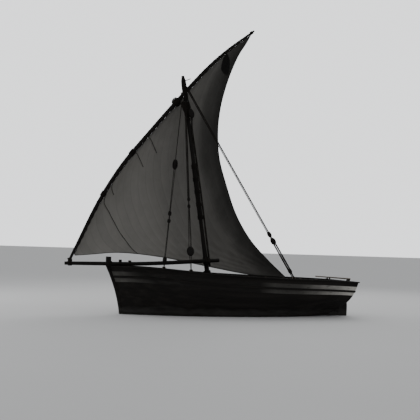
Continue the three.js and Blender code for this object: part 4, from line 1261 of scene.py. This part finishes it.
class DHOW_OT_sail(bpy.types.Operator):
    """Sew the sail from cloths, bent to the yard and bellied away to starboard"""

    bl_idname = "dhow.sail"
    bl_label = "Sail"

    def execute(self, context):
        rig = context.scene.dhow_rig
        shape = SailShape(rig)
        tool, doubled = self.cloth(shape, rig)
        sail = object_from(tool, "sail_cloth", math.radians(80))
        group = sail.vertex_groups.new(name="doubled cloth")
        group.add(doubled, 1.0, "REPLACE")
        wall = sail.modifiers.new("cloth thickness", "SOLIDIFY")
        wall.thickness = CLOTH_DOUBLED
        wall.offset = 0.0
        wall.vertex_group = group.name
        wall.thickness_vertex_group = CLOTH_SINGLE
        finish_piece(sail, "yard", "sail", ["sail"])
        edges = {
            "leech_rope": [shape.point(1.0, q) for q in np.linspace(0, 1, 120)],
            "foot_rope": [shape.point(p, 1.0) for p in np.linspace(0, 1, 120)],
            "head_rope": [shape.point(p, 0.0) for p in np.linspace(0, 1, 400)],
            "luff_rope": [shape.point(0.0, q) for q in np.linspace(0, 1, 6)],
        }
        for name, run in edges.items():
            rope_object(name, [run], ROPES["edge"], "yard", twist=6)
        self.lace(shape, rig)
        peak = turns(YARD.at(0.988), YARD.along(0.98), 0.046, 4.3, 0.022, 20)
        rope_object("peak_whipping", [peak], ROPES["lashing"], "yard")
        for name, route in SAIL_ROPES.items():
            self.lay_rope(name, route, shape)
        return {"FINISHED"}

    def cloth(self, shape, rig):
        """The sail's one-layer mesh, and the numbers of its vertices where cloth is doubled."""
        tool = bmesh.new()
        uv = tool.loops.layers.uv.new("cloth")
        columns = [0.0]
        for panel in range(rig.panels):
            columns += [(panel + step) / rig.panels for step in CLOTH_STEPS]
        last = len(columns) - 1
        made = bmesh.ops.create_grid(
            tool, x_segments=last, y_segments=SAIL_ROWS, size=1.0, calc_uvs=False
        )
        places = {}
        for vert in made["verts"]:
            column = columns[round((vert.co.x + 1) / 2 * last)]
            places[vert] = (column, (vert.co.y + 1) / 2)
        for vert, (p, q) in places.items():
            vert.co = shape.point(p, q)
        for face in tool.faces:
            for corner in face.loops:
                corner[uv].uv = places[corner.vert]
        tool.verts.index_update()
        doubled = [vert.index for vert, (p, q) in places.items() if shape.is_doubled(p, q)]
        bmesh.ops.recalc_face_normals(tool, faces=tool.faces)
        return tool, doubled

    def lay_rope(self, name, route, shape):
        """A rope that lies on the port face of the sail along a route of shares."""
        run = []
        for p, q, _ in Line([(p, q, 0) for p, q in route]).points(80):
            run.append(shape.point(p, q) + Vector((0, 2 * ROPES["gasket"], 0)))
        rope_object(name, [run], ROPES["gasket"], "yard", sides=1)

    def lace(self, shape, rig):
        runs = []
        for i in range(rig.lacings):
            share = shape.share((i + 0.5) / rig.lacings)
            if abs(share - SLING_SHARE) < SLING_UNLACED:
                continue
            radius = share_value(YARD_RADII, share) + 0.007
            centre = YARD.at(share) + shape.aft(share) * 0.008
            runs.append(turns(centre, YARD.along(share), radius, 2.2, 0.011, 16, 0.7 * i))
        rope_object("sail_lacings", runs, ROPES["lacing"], "yard", strands=1)


class SailShape:
    """The cloth between yard, leech and foot: p runs along the head, q away from it."""

    def __init__(self, rig):
        self.rig = rig
        self.head0 = self.head(0.0)
        self.tack = self.head0 + Vector((-0.030, 0, -0.060))
        self.clew = Vector(CLEW)
        self.head1 = self.head(1.0)
        self.foot = Line([self.tack, *FOOT, CLEW])
        self.leech = Line([self.head1, *LEECH, CLEW])

    def share(self, p):
        return share_value(SAIL_HEAD, p)

    def aft(self, share):
        along = YARD.along(share)
        return Vector((-along.z, 0, along.x)).normalized()

    def head(self, p):
        share = self.share(p)
        flat = share_value(YARD_RADII, share) * math.cos(math.pi / 12) + HEAD_OFF
        return YARD.at(share) + self.aft(share) * flat

    def is_doubled(self, p, q):
        """Whether a place lies on a seam, a hem or one of the patches at the corners."""
        cloth = p * self.rig.panels
        on_seam = cloth - math.floor(cloth) < SEAM_DOUBLED
        on_hem = q < HEAD_HEM or q > FOOT_HEM or p > LEECH_HEM
        at_clew = 1 - p < CLEW_PATCH[0] and 1 - q < CLEW_PATCH[1]
        at_peak = 1 - p < PEAK_PATCH[0] and q < PEAK_PATCH[1]
        at_tack = p < TACK_PATCH
        return on_seam or on_hem or at_clew or at_peak or at_tack

    def point(self, p, q):
        point = self.head(p) * (1 - q) + self.foot.at(p) * q
        point += self.head0.lerp(self.tack, q) * (1 - p) + self.leech.at(q) * p
        point -= self.head0 * ((1 - p) * (1 - q)) + self.head1 * (p * (1 - q))
        point -= self.tack * ((1 - p) * q) + self.clew * (p * q)
        belly = math.sin(math.pi * p) * math.sin(math.pi * q)
        point.y -= SAIL_BELLY * belly
        point += self.folds(p, q, belly)
        return self.clear_of_sling(point)

    def folds(self, p, q, belly):
        """Scallops between the lacings, strain folds to the corners and a slack leech."""
        lacing = math.pi * p * self.rig.lacings
        sag = self.rig.scallop * (1 - abs(math.cos(lacing))) * math.exp(-q / SCALLOP_FADE)
        offset = self.aft(self.share(p)) * sag
        strain = STRAIN_DEPTH * math.sin(lacing) * math.exp(-q / STRAIN_FADE) * min(q / 0.02, 1)
        to_clew = math.atan2((1 - p) * 0.6, (1 - q) + 1e-6)
        rays = RAY_DEPTH * math.sin(RAYS * to_clew) * math.exp(-((1 - q) + (1 - p)) / RAY_FADE)
        rays *= min(min(1 - p, 1 - q, p) / 0.03, 1.0)
        slack_at = SLACK_AT + SLACK_SWAY * math.sin(3.0 * q)
        slack = SLACK_DEPTH * math.exp(-(((p - slack_at) / SLACK_HALF) ** 2))
        slack *= math.sin(math.pi * min(q * 1.25, 1.0))
        billow = BILLOW_DEPTH * math.cos(2 * math.pi * p * self.rig.panels) * belly
        offset.y += strain + rays + slack + billow
        return offset

    def clear_of_sling(self, point):
        """Rounds the notch in the head where the sling goes round the yard."""
        across = point - SLING_AT
        lengthwise = across.dot(TACK_TO_SLING)
        across -= TACK_TO_SLING * lengthwise
        room = SLING_ROOM * math.exp(-((lengthwise / SLING_ROOM_HALF) ** 4))
        if across.length < room:
            point = point + across.normalized() * (room - across.length)
        return point


# Standing and running rigging

# How far off the wood the upper end of a stay lies, at the sling and at a collar on the mast
STAY_OFF_SLING = 0.028
STAY_OFF_MAST = 0.016

# The two ends of a stay, written as its blocks are: share of the way down, length and width
STAY_TOP = (0.0, 0.0, 0.030)
STAY_FOOT = (1.0, 0.0, 0.045)

# The ropes of a stretch: the share of a block's width over which they spread, the least room for
# each and how far they stand out of line in turn, in half thicknesses of rope, and how far from a
# block's middle they start, as a share of its length
ROPES_SPREAD = 0.62
ROPES_ROOM = 1.7
ROPES_STAGGER = 0.8
ROPES_START = 0.26

# Where the sheet is hitched at the starboard quarter, and how its middle hangs off a straight line
QUARTER = Vector((-4.06, -1.075, 1.255))
SHEET_SAG = Vector((0, -0.02, -0.05))

# The halyard's turns at the masthead, as height and number, and the spare end that stands off it
MASTHEAD_TURNS = [(7.80, 2.3), (7.52, 3.3), (7.22, 5.3)]
SPARE_END_Z = 7.80
SPARE_END = [(-0.06, 0.05, 0.02), (-0.14, 0.07, 0.05), (-0.22, 0.08, 0.09)]

# The masthead's cheeks: heights of their ends, half width of their inner and outer faces, how far
# out the inner faces lie, and at shares of their length how thick they are
CHEEK_ENDS = (7.345, 7.940)
CHEEK_HALF_WIDTHS = (0.052, 0.036)
CHEEK_SEAT = 0.036
CHEEK_OUTLINE = [(-0.5, 0.012), (-0.36, 0.046), (0.10, 0.046), (0.32, 0.034), (0.5, 0.006)]

# The halyard: its height over the masthead, its lead from the sling, and where its two parts to
# the masthead end there
HALYARD_HEAD_Z = 7.56
HALYARD_LEAD = Vector((-0.02, 0.10, 0.06))
HALYARD_PARTS = [Vector((0.055, 0.03, 0.0)), Vector((0.045, 0.055, 0.03))]

# The parts between the masthead and the halyard's block: their number, where the first of them
# ends at the masthead, how far each further one lies from it there, the gap between them at the
# block and how far they lie to either side of it in turn
TACKLE_PARTS = 4
TACKLE_FIRST = Vector((0.02, 0.066, 0))
TACKLE_STEP = Vector((-0.03, -0.006, 0.02))
TACKLE_GAP = 0.030
TACKLE_SIDE = 0.012

# The halyard's falls: their number, the gap between them, their heights with how far ahead of the
# mast's middle they run, how far to port of it, and the height at which they are belayed
FALLS = 3
FALL_GAP = 0.022
FALL_STATIONS = [(6.30, -0.056), (5.90, -0.060), (4.10, -0.092), (1.62, -0.085)]
FALL_SIDE = 0.045
BELAY_Z = 1.40

# The truss: heights of its collar and its bundle, the number of its leads, where the first of them
# starts at the collar and ends at the yard, how far each further one lies from it there, and how
# the middle of each lies off a straight line
TRUSS_Z = 6.53
BUNDLE_Z = 6.87
TRUSS_LEADS = 7
TRUSS_NEAR = Vector((0.035, 0.065, 0))
TRUSS_NEAR_STEP = 0.075
TRUSS_FAR = Vector((2.036, -0.015, 7.040))
TRUSS_FAR_STEP = Vector((-0.014, 0, 0.018))
TRUSS_BEND = Vector((0.012, 0.012, -0.012))


class DHOW_OT_rigging(bpy.types.Operator):
    """Set up shrouds, halyard tackle, blocks and sheet"""

    bl_idname = "dhow.rigging"
    bl_label = "Rigging"

    def execute(self, context):
        for node, stay in STAYS.items():
            self.stay(node, stay)
        self.sheet_rope()
        self.masthead()
        self.halyard()
        self.truss()
        return {"FINISHED"}

    def ends(self, node, stay):
        """The top of a stay, at its collar or at the sling, and its toggle at the rail."""
        low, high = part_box(node)
        foot = Vector((stay["foot"], high.y - TOGGLE_ROOM[0], low.z + TOGGLE_ROOM[1]))
        if "collar" not in stay:
            lead = SLING_LEAD - TACK_TO_SLING * SLING_LEAD.dot(TACK_TO_SLING)
            return SLING_AT + lead.normalized() * (SLING_BORE + STAY_OFF_SLING), foot
        mast = mast_at(stay["collar"])
        out = foot - mast
        out -= MAST_AXIS * out.dot(MAST_AXIS)
        off = mast_radius(stay["collar"]) + STAY_OFF_MAST
        return mast + out.normalized() * off, foot

    def stay(self, node, stay):
        top, foot = self.ends(node, stay)
        name = piece_name(node)
        along = (foot - top).normalized()
        across = along.cross(Vector((0, 1, 0))).normalized()
        deep = along.cross(across)
        stops = [STAY_TOP, *stay["blocks"], STAY_FOOT]
        runs = []
        for (count, radius), upper, lower in zip(stay["ropes"], stops, stops[1:]):
            for i in range(count):
                stagger = deep * (radius * ROPES_STAGGER * (-1) ** i)
                run = []
                for (share, length, width), way in ((upper, 1), (lower, -1)):
                    spread = max(width * ROPES_SPREAD, ROPES_ROOM * radius * count)
                    beside = spread * ((i + 0.5) / count - 0.5)
                    middle = top.lerp(foot, share) + along * (way * length * ROPES_START)
                    run.append(middle + across * beside + stagger)
                runs.append((radius, run))
        self.ropes(name, runs, node)
        if "collar" in stay:
            coil = mast_turns(stay["collar"], 0.014, 3.2, 0.027)
            rope_object(name + "_collar", [coil], ROPES["collar"], "hull")
        for i, (share, length, width) in enumerate(stay["blocks"]):
            self.block(f"{name}_block_{i + 1}", top.lerp(foot, share), along, length, width)
        self.toggle(name + "_toggle", foot)

    def ropes(self, name, runs, node):
        """One piece of laid rope for each thickness, the first of them standing for the node."""
        replaced = [node]
        for radius in sorted({radius for radius, run in runs}, reverse=True):
            same = [run for size, run in runs if size == radius]
            suffix = "" if replaced else f"_falls_{round(radius * 2000)}"
            rope_object(name + suffix, same, radius, "hull", replaced, sides=1, twist=8.0)
            replaced = []

    def block(self, name, centre, along, length, width):
        tool = block_tool(centre, along, length, width, min(width, 0.100))
        piece = object_from(tool, name, math.radians(40))
        finish_piece(piece, "hull", "mast")
        long = along * (length / 2 + 0.006)
        wide = along.cross(Vector((0, 1, 0))).normalized() * (width * 0.5 + 0.004)
        strop = loops(centre, Vector(), long, wide, 1, 32)
        rope_object(name + "_strop", [strop], ROPES["strop"], "hull", strands=1)

    def toggle(self, name, foot):
        """A wooden toggle under the rail's rope becket, where the stay is made fast."""
        tool = bmesh.new()
        made = bmesh.ops.create_cube(tool, size=1.0)
        bmesh.ops.scale(tool, vec=TOGGLE, verts=made["verts"])
        rounded(tool, tool.edges[:], 0.012, 3)
        bmesh.ops.translate(tool, vec=foot, verts=tool.verts)
        piece = object_from(tool, name)
        finish_piece(piece, "hull", "across")
        hitch = turns(foot, (1, 0, 0), 0.036, 4.5, 0.018, 16)
        rope_object(name + "_hitch", [hitch], ROPES["strop"], "hull", strands=1)

    def sheet_rope(self):
        """The sheet, from the clew back to the quarter."""
        clew = Vector(CLEW)
        middle = clew.lerp(QUARTER, 0.5) + SHEET_SAG
        points = Line([clew, middle, QUARTER]).points(40)
        rope = to_mesh(rope_object("sheet", [points], ROPES["sheet"], "yard"))
        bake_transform(rope)
        hitch = turns(QUARTER, (0, 1, 0), 0.055, 3.4, 0.024, 20)
        rope_object("sheet_hitch", [hitch], ROPES["sheet"], "hull")

    def masthead(self):
        """The halyard's turns at the masthead, and a short spare end standing off it."""
        runs = [mast_turns(z, 0.011, count, 0.024) for z, count in MASTHEAD_TURNS]
        rope_object("masthead_turns", runs, ROPES["halyard"], "hull")
        self.cheeks()
        spare = [mast_at(SPARE_END_Z) + Vector(off) for off in SPARE_END]
        rope_object("masthead_spare_end", [spare], ROPES["spare end"], "hull")

    def cheeks(self):
        """Two wooden cheeks that carry the halyard's sheave, pointed at both ends."""
        tool = bmesh.new()
        low, high = (mast_at(z) for z in CHEEK_ENDS)
        inner, outer = CHEEK_HALF_WIDTHS
        for side in (1, -1):
            rings = []
            for share, thick in CHEEK_OUTLINE:
                out, height = CHEEK_SEAT + thick, share * (high - low).length
                corners = ((CHEEK_SEAT, -inner), (CHEEK_SEAT, inner), (out, outer), (out, -outer))
                rings.append([(x * side, y, height) for x, y in corners])
            bridged(tool, rings)
        matrix = stood((low + high) / 2, MAST_AXIS)
        bmesh.ops.transform(tool, matrix=matrix, verts=tool.verts)
        piece = object_from(tool, "masthead_cheeks")
        add_bevel(piece, 0.006)
        finish_piece(piece, "hull", "mast")

    def halyard(self):
        """The halyard, from the sling over the masthead to its block and down to its belay."""
        head = mast_at(HALYARD_HEAD_Z)
        block = Vector(HALYARD_BLOCK)
        length, width = HALYARD_BLOCK_SIZE
        along = (head - block).normalized()
        upper = block + along * (length * 0.4)
        lower = block - along * (length * 0.4)
        runs = [[SLING_AT + HALYARD_LEAD, head + off] for off in HALYARD_PARTS]
        for i in range(TACKLE_PARTS):
            beside = TACKLE_GAP * (i - (TACKLE_PARTS - 1) / 2)
            low = upper + Vector((beside, TACKLE_SIDE * (-1) ** i, 0))
            runs.append([low, head + TACKLE_FIRST + TACKLE_STEP * i])
        rope_object("halyard_parts", runs, ROPES["halyard"], "hull", sides=1)
        falls = []
        for i in range(FALLS):
            out = FALL_GAP * i
            fall = [lower + Vector((0.03 - out, -0.01, 0))]
            fall += [mast_at(z) + Vector((x - out, FALL_SIDE, 0)) for z, x in FALL_STATIONS]
            falls.append(fall)
        rope_object("halyard_falls", falls, ROPES["halyard"], "hull", sides=1)
        self.block("halyard_block", block, along, length, width)
        over = mast_at(BELAY_Z) + MAST_AXIS * 0.02
        belay = [
            mast_turns(BELAY_Z, 0.010, 7.3, 0.021),
            turns(over, MAST_AXIS, mast_radius(BELAY_Z) + 0.029, 4.3, 0.022, start=1.5),
        ]
        rope_object("halyard_belay", belay, ROPES["belay"], "hull", sides=1)

    def truss(self):
        """The rope that holds the yard in to the mast below the sling."""
        runs = [
            mast_turns(TRUSS_Z, 0.012, 3.3, 0.024),
            mast_turns(BUNDLE_Z, 0.012, 19.5, 0.0245, 20),
            mast_turns(BUNDLE_Z, 0.034, 14.5, 0.0250, 20, 1.0),
        ]
        for i in range(TRUSS_LEADS):
            near = mast_at(TRUSS_Z + TRUSS_NEAR_STEP * i) + TRUSS_NEAR
            far = TRUSS_FAR + TRUSS_FAR_STEP * i
            bend = near.lerp(far, 0.5) + TRUSS_BEND
            runs.append(Line([far, bend, near]).points(16))
        rope_object("truss", runs, ROPES["truss"], "hull", sides=1)


def to_mesh(piece):
    """Makes a rope's curve a mesh in place."""
    graph = bpy.context.evaluated_depsgraph_get()
    mesh = bpy.data.meshes.new_from_object(piece.evaluated_get(graph))
    name, old = piece.name, piece.data
    bpy.data.objects.remove(piece)
    bpy.data.curves.remove(old)
    made = bpy.data.objects.new(name, mesh)
    bpy.context.scene.collection.objects.link(made)
    mesh.materials.clear()
    mesh.materials.append(FINISHES["rope"])
    return made


# Rise of a lashing from one turn to the next
LASHING_PITCH = 0.026

# The crossed turns that hold the bowsprit's heel to the mast: half their width and depth
HEEL_LOOP = (0.125, 0.205)

# The turns that hold the bowsprit to the stem head: half their width and height, and how far
# their middle lies to starboard of the bowsprit's
BOW_LOOP = (0.112, 0.078)
BOW_LOOP_SHIFT = 0.045

# The turns between the yard's ring and the bowsprit: half their width and height, and their rise
TACK_LOOP = (0.085, 0.105)
TACK_PITCH = 0.024

# The yard's lashings: rise of a turn, and how far a second layer lies outside the first
YARD_PITCH = 0.0245
YARD_LAYER = 0.021

# The hank of spare rope: half its bends, its reach at the middle and its loss of reach outward,
# and half the angle that it sweeps
HANK_HALF = 4
HANK_REACH = 0.150
HANK_TAPER = 0.0022
HANK_SWEEP = 1.75


class DHOW_OT_lashings(bpy.types.Operator):
    """Wind the lashings of mast, bowsprit, tack and yard"""

    bl_idname = "dhow.lashings"
    bl_label = "Lashings"

    def execute(self, context):
        self.heel_lashing()
        self.bow_lashing()
        self.tack_lashing()
        self.sling()
        for node, share in YARD_LASHINGS.items():
            layers = 2 if node == "yard-lashing-sling" else 1
            self.yard_lashing(node, share, layers)
        self.hank(YARD_LASHINGS["yard-lashing-sling"])
        return {"FINISHED"}

    def hull_lashing(self, node, runs, rope="lashing"):
        rope_object(piece_name(node), runs, ROPES[rope], "hull", [node])

    def sprit_turns(self, x, count):
        centre, axis, radius = sprit_at(x)
        return turns(centre, axis, radius + 0.013, count, LASHING_PITCH)

    def heel_lashing(self):
        crossing = mast_at(HEEL_LASHING_Z)
        middle = (crossing + sprit_at(crossing.x)[0]) / 2
        runs = [
            mast_turns(HEEL_LASHING_Z, 0.013, 8.4, LASHING_PITCH),
            self.sprit_turns(crossing.x, 6.4),
        ]
        wide, deep = HEEL_LOOP
        for lean in (1, -1):
            axis = Vector((lean, 0, 1)).normalized()
            across = axis.cross(Vector((0, 1, 0))).normalized()
            runs.append(
                loops(middle, axis * LASHING_PITCH, across * wide, Vector((0, deep, 0)), 4)
            )
        self.hull_lashing("mast-lashing", runs)

    def bow_lashing(self):
        low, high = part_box("bow-lashing")
        x = (low.x + high.x) / 2
        sprit = sprit_at(x)[0]
        middle = Vector((x, sprit.y - BOW_LOOP_SHIFT, sprit.z))
        runs = [self.sprit_turns(x, 5.4), self.upright_loops(middle, BOW_LOOP, LASHING_PITCH, 5)]
        for point in [point for run in runs for point in run]:
            point.z = max(point.z, sprit.z - BOW_LASHING_BELOW)
        self.hull_lashing("bow-lashing", runs)

    def upright_loops(self, middle, size, pitch, count):
        wide, high = size
        return loops(
            middle, Vector((pitch, 0, 0)), Vector((0, wide, 0)), Vector((0, 0, high)), count
        )

    def tack_lashing(self):
        middle = (TACK_AT + sprit_at(TACK_AT.x)[0]) / 2
        runs = [
            turns(TACK_AT, TACK_TO_SLING, 0.073, 2.3, 0.027),
            self.sprit_turns(TACK_AT.x, 4.4),
            self.upright_loops(middle, TACK_LOOP, TACK_PITCH, 4),
        ]
        self.hull_lashing("tack-lashing", runs)

    def sling(self):
        runs = [
            turns(SLING_AT, TACK_TO_SLING, 0.092, 1.4, 0.02),
            mast_turns(SLING_AT.z, 0.017, 3.4, 0.028),
        ]
        self.hull_lashing("yard-sling", runs, "collar")

    def yard_lashing(self, node, share, layers):
        low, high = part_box(node)
        length = (high - low).length * 0.52
        runs = []
        for layer in range(layers):
            radius = share_value(YARD_RADII, share) + 0.012 + layer * YARD_LAYER
            count = length / YARD_PITCH - layer * 1.5
            runs.append(turns(YARD.at(share), YARD.along(share), radius, count, YARD_PITCH))
        rope_object(piece_name(node), runs, ROPES["yard lashing"], "yard", [node])

    def hank(self, share):
        """Spare rope hung round the starboard side of the lashing below the sling."""
        centre, along = YARD.at(share), YARD.along(share)
        starboard = Vector((0, -1, 0))
        out = (starboard - along * starboard.dot(along)).normalized()
        side = along.cross(out)
        run = []
        for i in range(-HANK_HALF, HANK_HALF + 1):
            bend = centre + along * (i * LASHING_PITCH)
            reach = HANK_REACH - HANK_TAPER * i**2
            for turn in np.linspace(-HANK_SWEEP, HANK_SWEEP, 15) * (1 if i % 2 else -1):
                run.append(bend + (out * math.cos(turn) + side * math.sin(turn)) * reach)
        rope_object("sling_hank", [run], ROPES["lashing"], "yard", sides=1)


class DHOW_OT_rudder(bpy.types.Operator):
    """Hang the rudder on its irons"""

    bl_idname = "dhow.rudder"
    bl_label = "Rudder"

    def execute(self, context):
        edge = context.scene.dhow_hull.edge
        timber_piece("rudder-blade", "hull", edge * 1.4)
        for node in ("gudgeon-lower", "gudgeon-upper", "pintle-lower", "pintle-upper"):
            timber_piece(node, "iron", 0.0025)
        self.nose()
        return {"FINISHED"}

    def nose(self):
        """The rudder's rounded leading edge, between its two irons."""
        tool = bmesh.new()
        bridged(tool, [[(x, y, z) for x, y in RUDDER_NOSE] for z in RUDDER_NOSE_ENDS])
        matrix = Matrix.Translation(RUDDER_AXIS) @ Matrix.Rotation(-STERN_RAKE, 4, "Y")
        bmesh.ops.transform(tool, matrix=matrix, verts=tool.verts)
        piece = object_from(tool, "rudder_nose")
        finish_piece(piece, "rudder", "hull")


# Camera, floor and light

CAMERA_AT = Vector((9.547, 27.429, 2.240))
CAMERA_HEADING = math.radians(17.5)
CAMERA_PITCH = math.radians(2.54)
CAMERA_ROLL = math.radians(1.804)
CAMERA_LENS = 73.11

# Each lamp's place, width and power, and the point at which they all aim
LAMPS = {
    "key": ((-9.0, -14.0, 17.0), 14.0, 1500.0),
    "side": ((16.0, 12.0, 14.0), 12.0, 300.0),
    "behind the sail": ((14.0, -9.0, 7.0), 8.0, 700.0),
}
LAMP_AIM = Vector((0.5, 0, 3.0))

# Height at which the planking is cut for the hole in the floor, just off its own edges
FLOOR_CUT_Z = 0.001


def waterline(inside):
    """The hull's outline where it floats, inside the planking's outer face by that much."""
    points = []
    for node in NODES:
        if "planking" in node:
            tool = merged_copy(node)
            rim = bisected(tool, (0, 0, FLOOR_CUT_Z), (0, 0, 1))
            points += [vert.co.to_2d() for edge in rim for vert in edge.verts]
            tool.free()
    if len(points) < 8:
        raise RuntimeError("the planking doesn't reach the waterline")
    outline = [points[index] for index in convex_hull_2d(points)]
    return [Vector((x, math.copysign(max(abs(y) - inside, 0), y), 0)) for x, y in outline]


class DHOW_OT_stage(bpy.types.Operator):
    """Set the camera, the pale floor at the waterline and the soft light"""

    bl_idname = "dhow.stage"
    bl_label = "Stage"

    def execute(self, context):
        self.camera(context.scene)
        self.floor(context.scene)
        self.light(context.scene)
        return {"FINISHED"}

    def camera(self, scene):
        data = bpy.data.cameras.new("camera")
        data.lens = CAMERA_LENS
        data.sensor_width = 36
        data.clip_end = 2000
        camera = bpy.data.objects.new("camera", data)
        level = Vector((-math.sin(CAMERA_HEADING), -math.cos(CAMERA_HEADING), 0))
        right = level.cross(Vector((0, 0, 1)))
        ahead = level * math.cos(CAMERA_PITCH) + Vector((0, 0, math.sin(CAMERA_PITCH)))
        down = level * math.sin(CAMERA_PITCH) - Vector((0, 0, math.cos(CAMERA_PITCH)))
        image_right = right * math.cos(CAMERA_ROLL) - down * math.sin(CAMERA_ROLL)
        image_down = right * math.sin(CAMERA_ROLL) + down * math.cos(CAMERA_ROLL)
        turn = Matrix((image_right, -image_down, -ahead)).transposed().to_4x4()
        camera.matrix_world = Matrix.Translation(CAMERA_AT) @ turn
        scene.collection.objects.link(camera)
        scene.camera = camera

    def floor(self, scene):
        """A pale floor with a hole inside the hull, so that it isn't seen in the open hold."""
        stage = scene.dhow_stage
        half = stage.floor / 2
        tool = bmesh.new()
        rim = closed_loop(
            tool, ((-half, -half, 0), (half, -half, 0), (half, half, 0), (-half, half, 0))
        )
        hole = closed_loop(tool, waterline(stage.inside))
        bmesh.ops.triangle_fill(tool, use_beauty=True, edges=rim + hole, normal=(0, 0, 1))
        if not tool.faces:
            raise RuntimeError("the floor wasn't filled")
        loose = [vert for vert in tool.verts if not vert.link_faces]
        bmesh.ops.delete(tool, geom=loose, context="VERTS")
        mesh = bpy.data.meshes.new("floor")
        tool.to_mesh(mesh)
        tool.free()
        floor = bpy.data.objects.new("floor", mesh)
        scene.collection.objects.link(floor)
        finish = Finish("plain pale floor")
        mottle = finish.noise(0.4, 3.0)
        tone = finish.blend(mottle, stage.shade, shade(stage.shade, 1.03))
        mesh.materials.append(finish.done(tone, 0.8))

    def light(self, scene):
        world = bpy.data.worlds.new("soft room")
        scene.world = world
        world.use_nodes = True
        nodes, links = world.node_tree.nodes, world.node_tree.links
        background = nodes["Background"]
        background.inputs["Color"].default_value = (0.97, 0.985, 1.0, 1)
        seen = nodes.new("ShaderNodeLightPath").outputs["Is Camera Ray"]
        strength = nodes.new("ShaderNodeMix")
        strength.inputs[2].default_value = scene.dhow_stage.sky
        strength.inputs[3].default_value = scene.dhow_stage.backdrop
        links.new(seen, strength.inputs[0])
        links.new(strength.outputs[0], background.inputs["Strength"])
        for name, (place, size, power) in LAMPS.items():
            data = bpy.data.lights.new(name, "AREA")
            data.size = size
            data.energy = power
            lamp = bpy.data.objects.new(name, data)
            lamp.location = place
            aim = LAMP_AIM - lamp.location
            lamp.rotation_euler = aim.to_track_quat("-Z", "Y").to_euler()
            scene.collection.objects.link(lamp)


# Registration

OPERATORS = (
    DHOW_OT_stage,
    DHOW_OT_planking,
    DHOW_OT_timbers,
    DHOW_OT_decks,
    DHOW_OT_spars,
    DHOW_OT_sail,
    DHOW_OT_rigging,
    DHOW_OT_lashings,
    DHOW_OT_rudder,
)
SETTINGS = {
    "dhow_hull": DhowHullSettings,
    "dhow_rig": DhowRigSettings,
    "dhow_stage": DhowStageSettings,
}


class DHOW_PT_panel(bpy.types.Panel):
    """Lists the steps that dress the dhow"""

    bl_idname = "DHOW_PT_panel"
    bl_label = "Dhow"
    bl_space_type = "VIEW_3D"
    bl_region_type = "UI"
    bl_category = "Dhow"

    def draw(self, context):
        for operator in OPERATORS:
            self.layout.operator(operator.bl_idname)
        for group in SETTINGS:
            settings = getattr(context.scene, group)
            box = self.layout.box()
            for name in settings.__annotations__:
                box.prop(settings, name)


def register():
    for kind in SETTINGS.values():
        bpy.utils.register_class(kind)
    for name, kind in SETTINGS.items():
        setattr(bpy.types.Scene, name, PointerProperty(type=kind))
    for kind in (*OPERATORS, DHOW_PT_panel):
        bpy.utils.register_class(kind)


def unregister():
    for kind in (DHOW_PT_panel, *reversed(OPERATORS)):
        bpy.utils.unregister_class(kind)
    for name in SETTINGS:
        delattr(bpy.types.Scene, name)
    for kind in reversed(tuple(SETTINGS.values())):
        bpy.utils.unregister_class(kind)


def main():
    register()
    make_finishes(bpy.context.scene)
    for operator in OPERATORS:
        group, name = operator.bl_idname.split(".")
        getattr(getattr(bpy.ops, group), name)()
    bpy.context.view_layer.update()


if __name__ == "__main__":
    main()
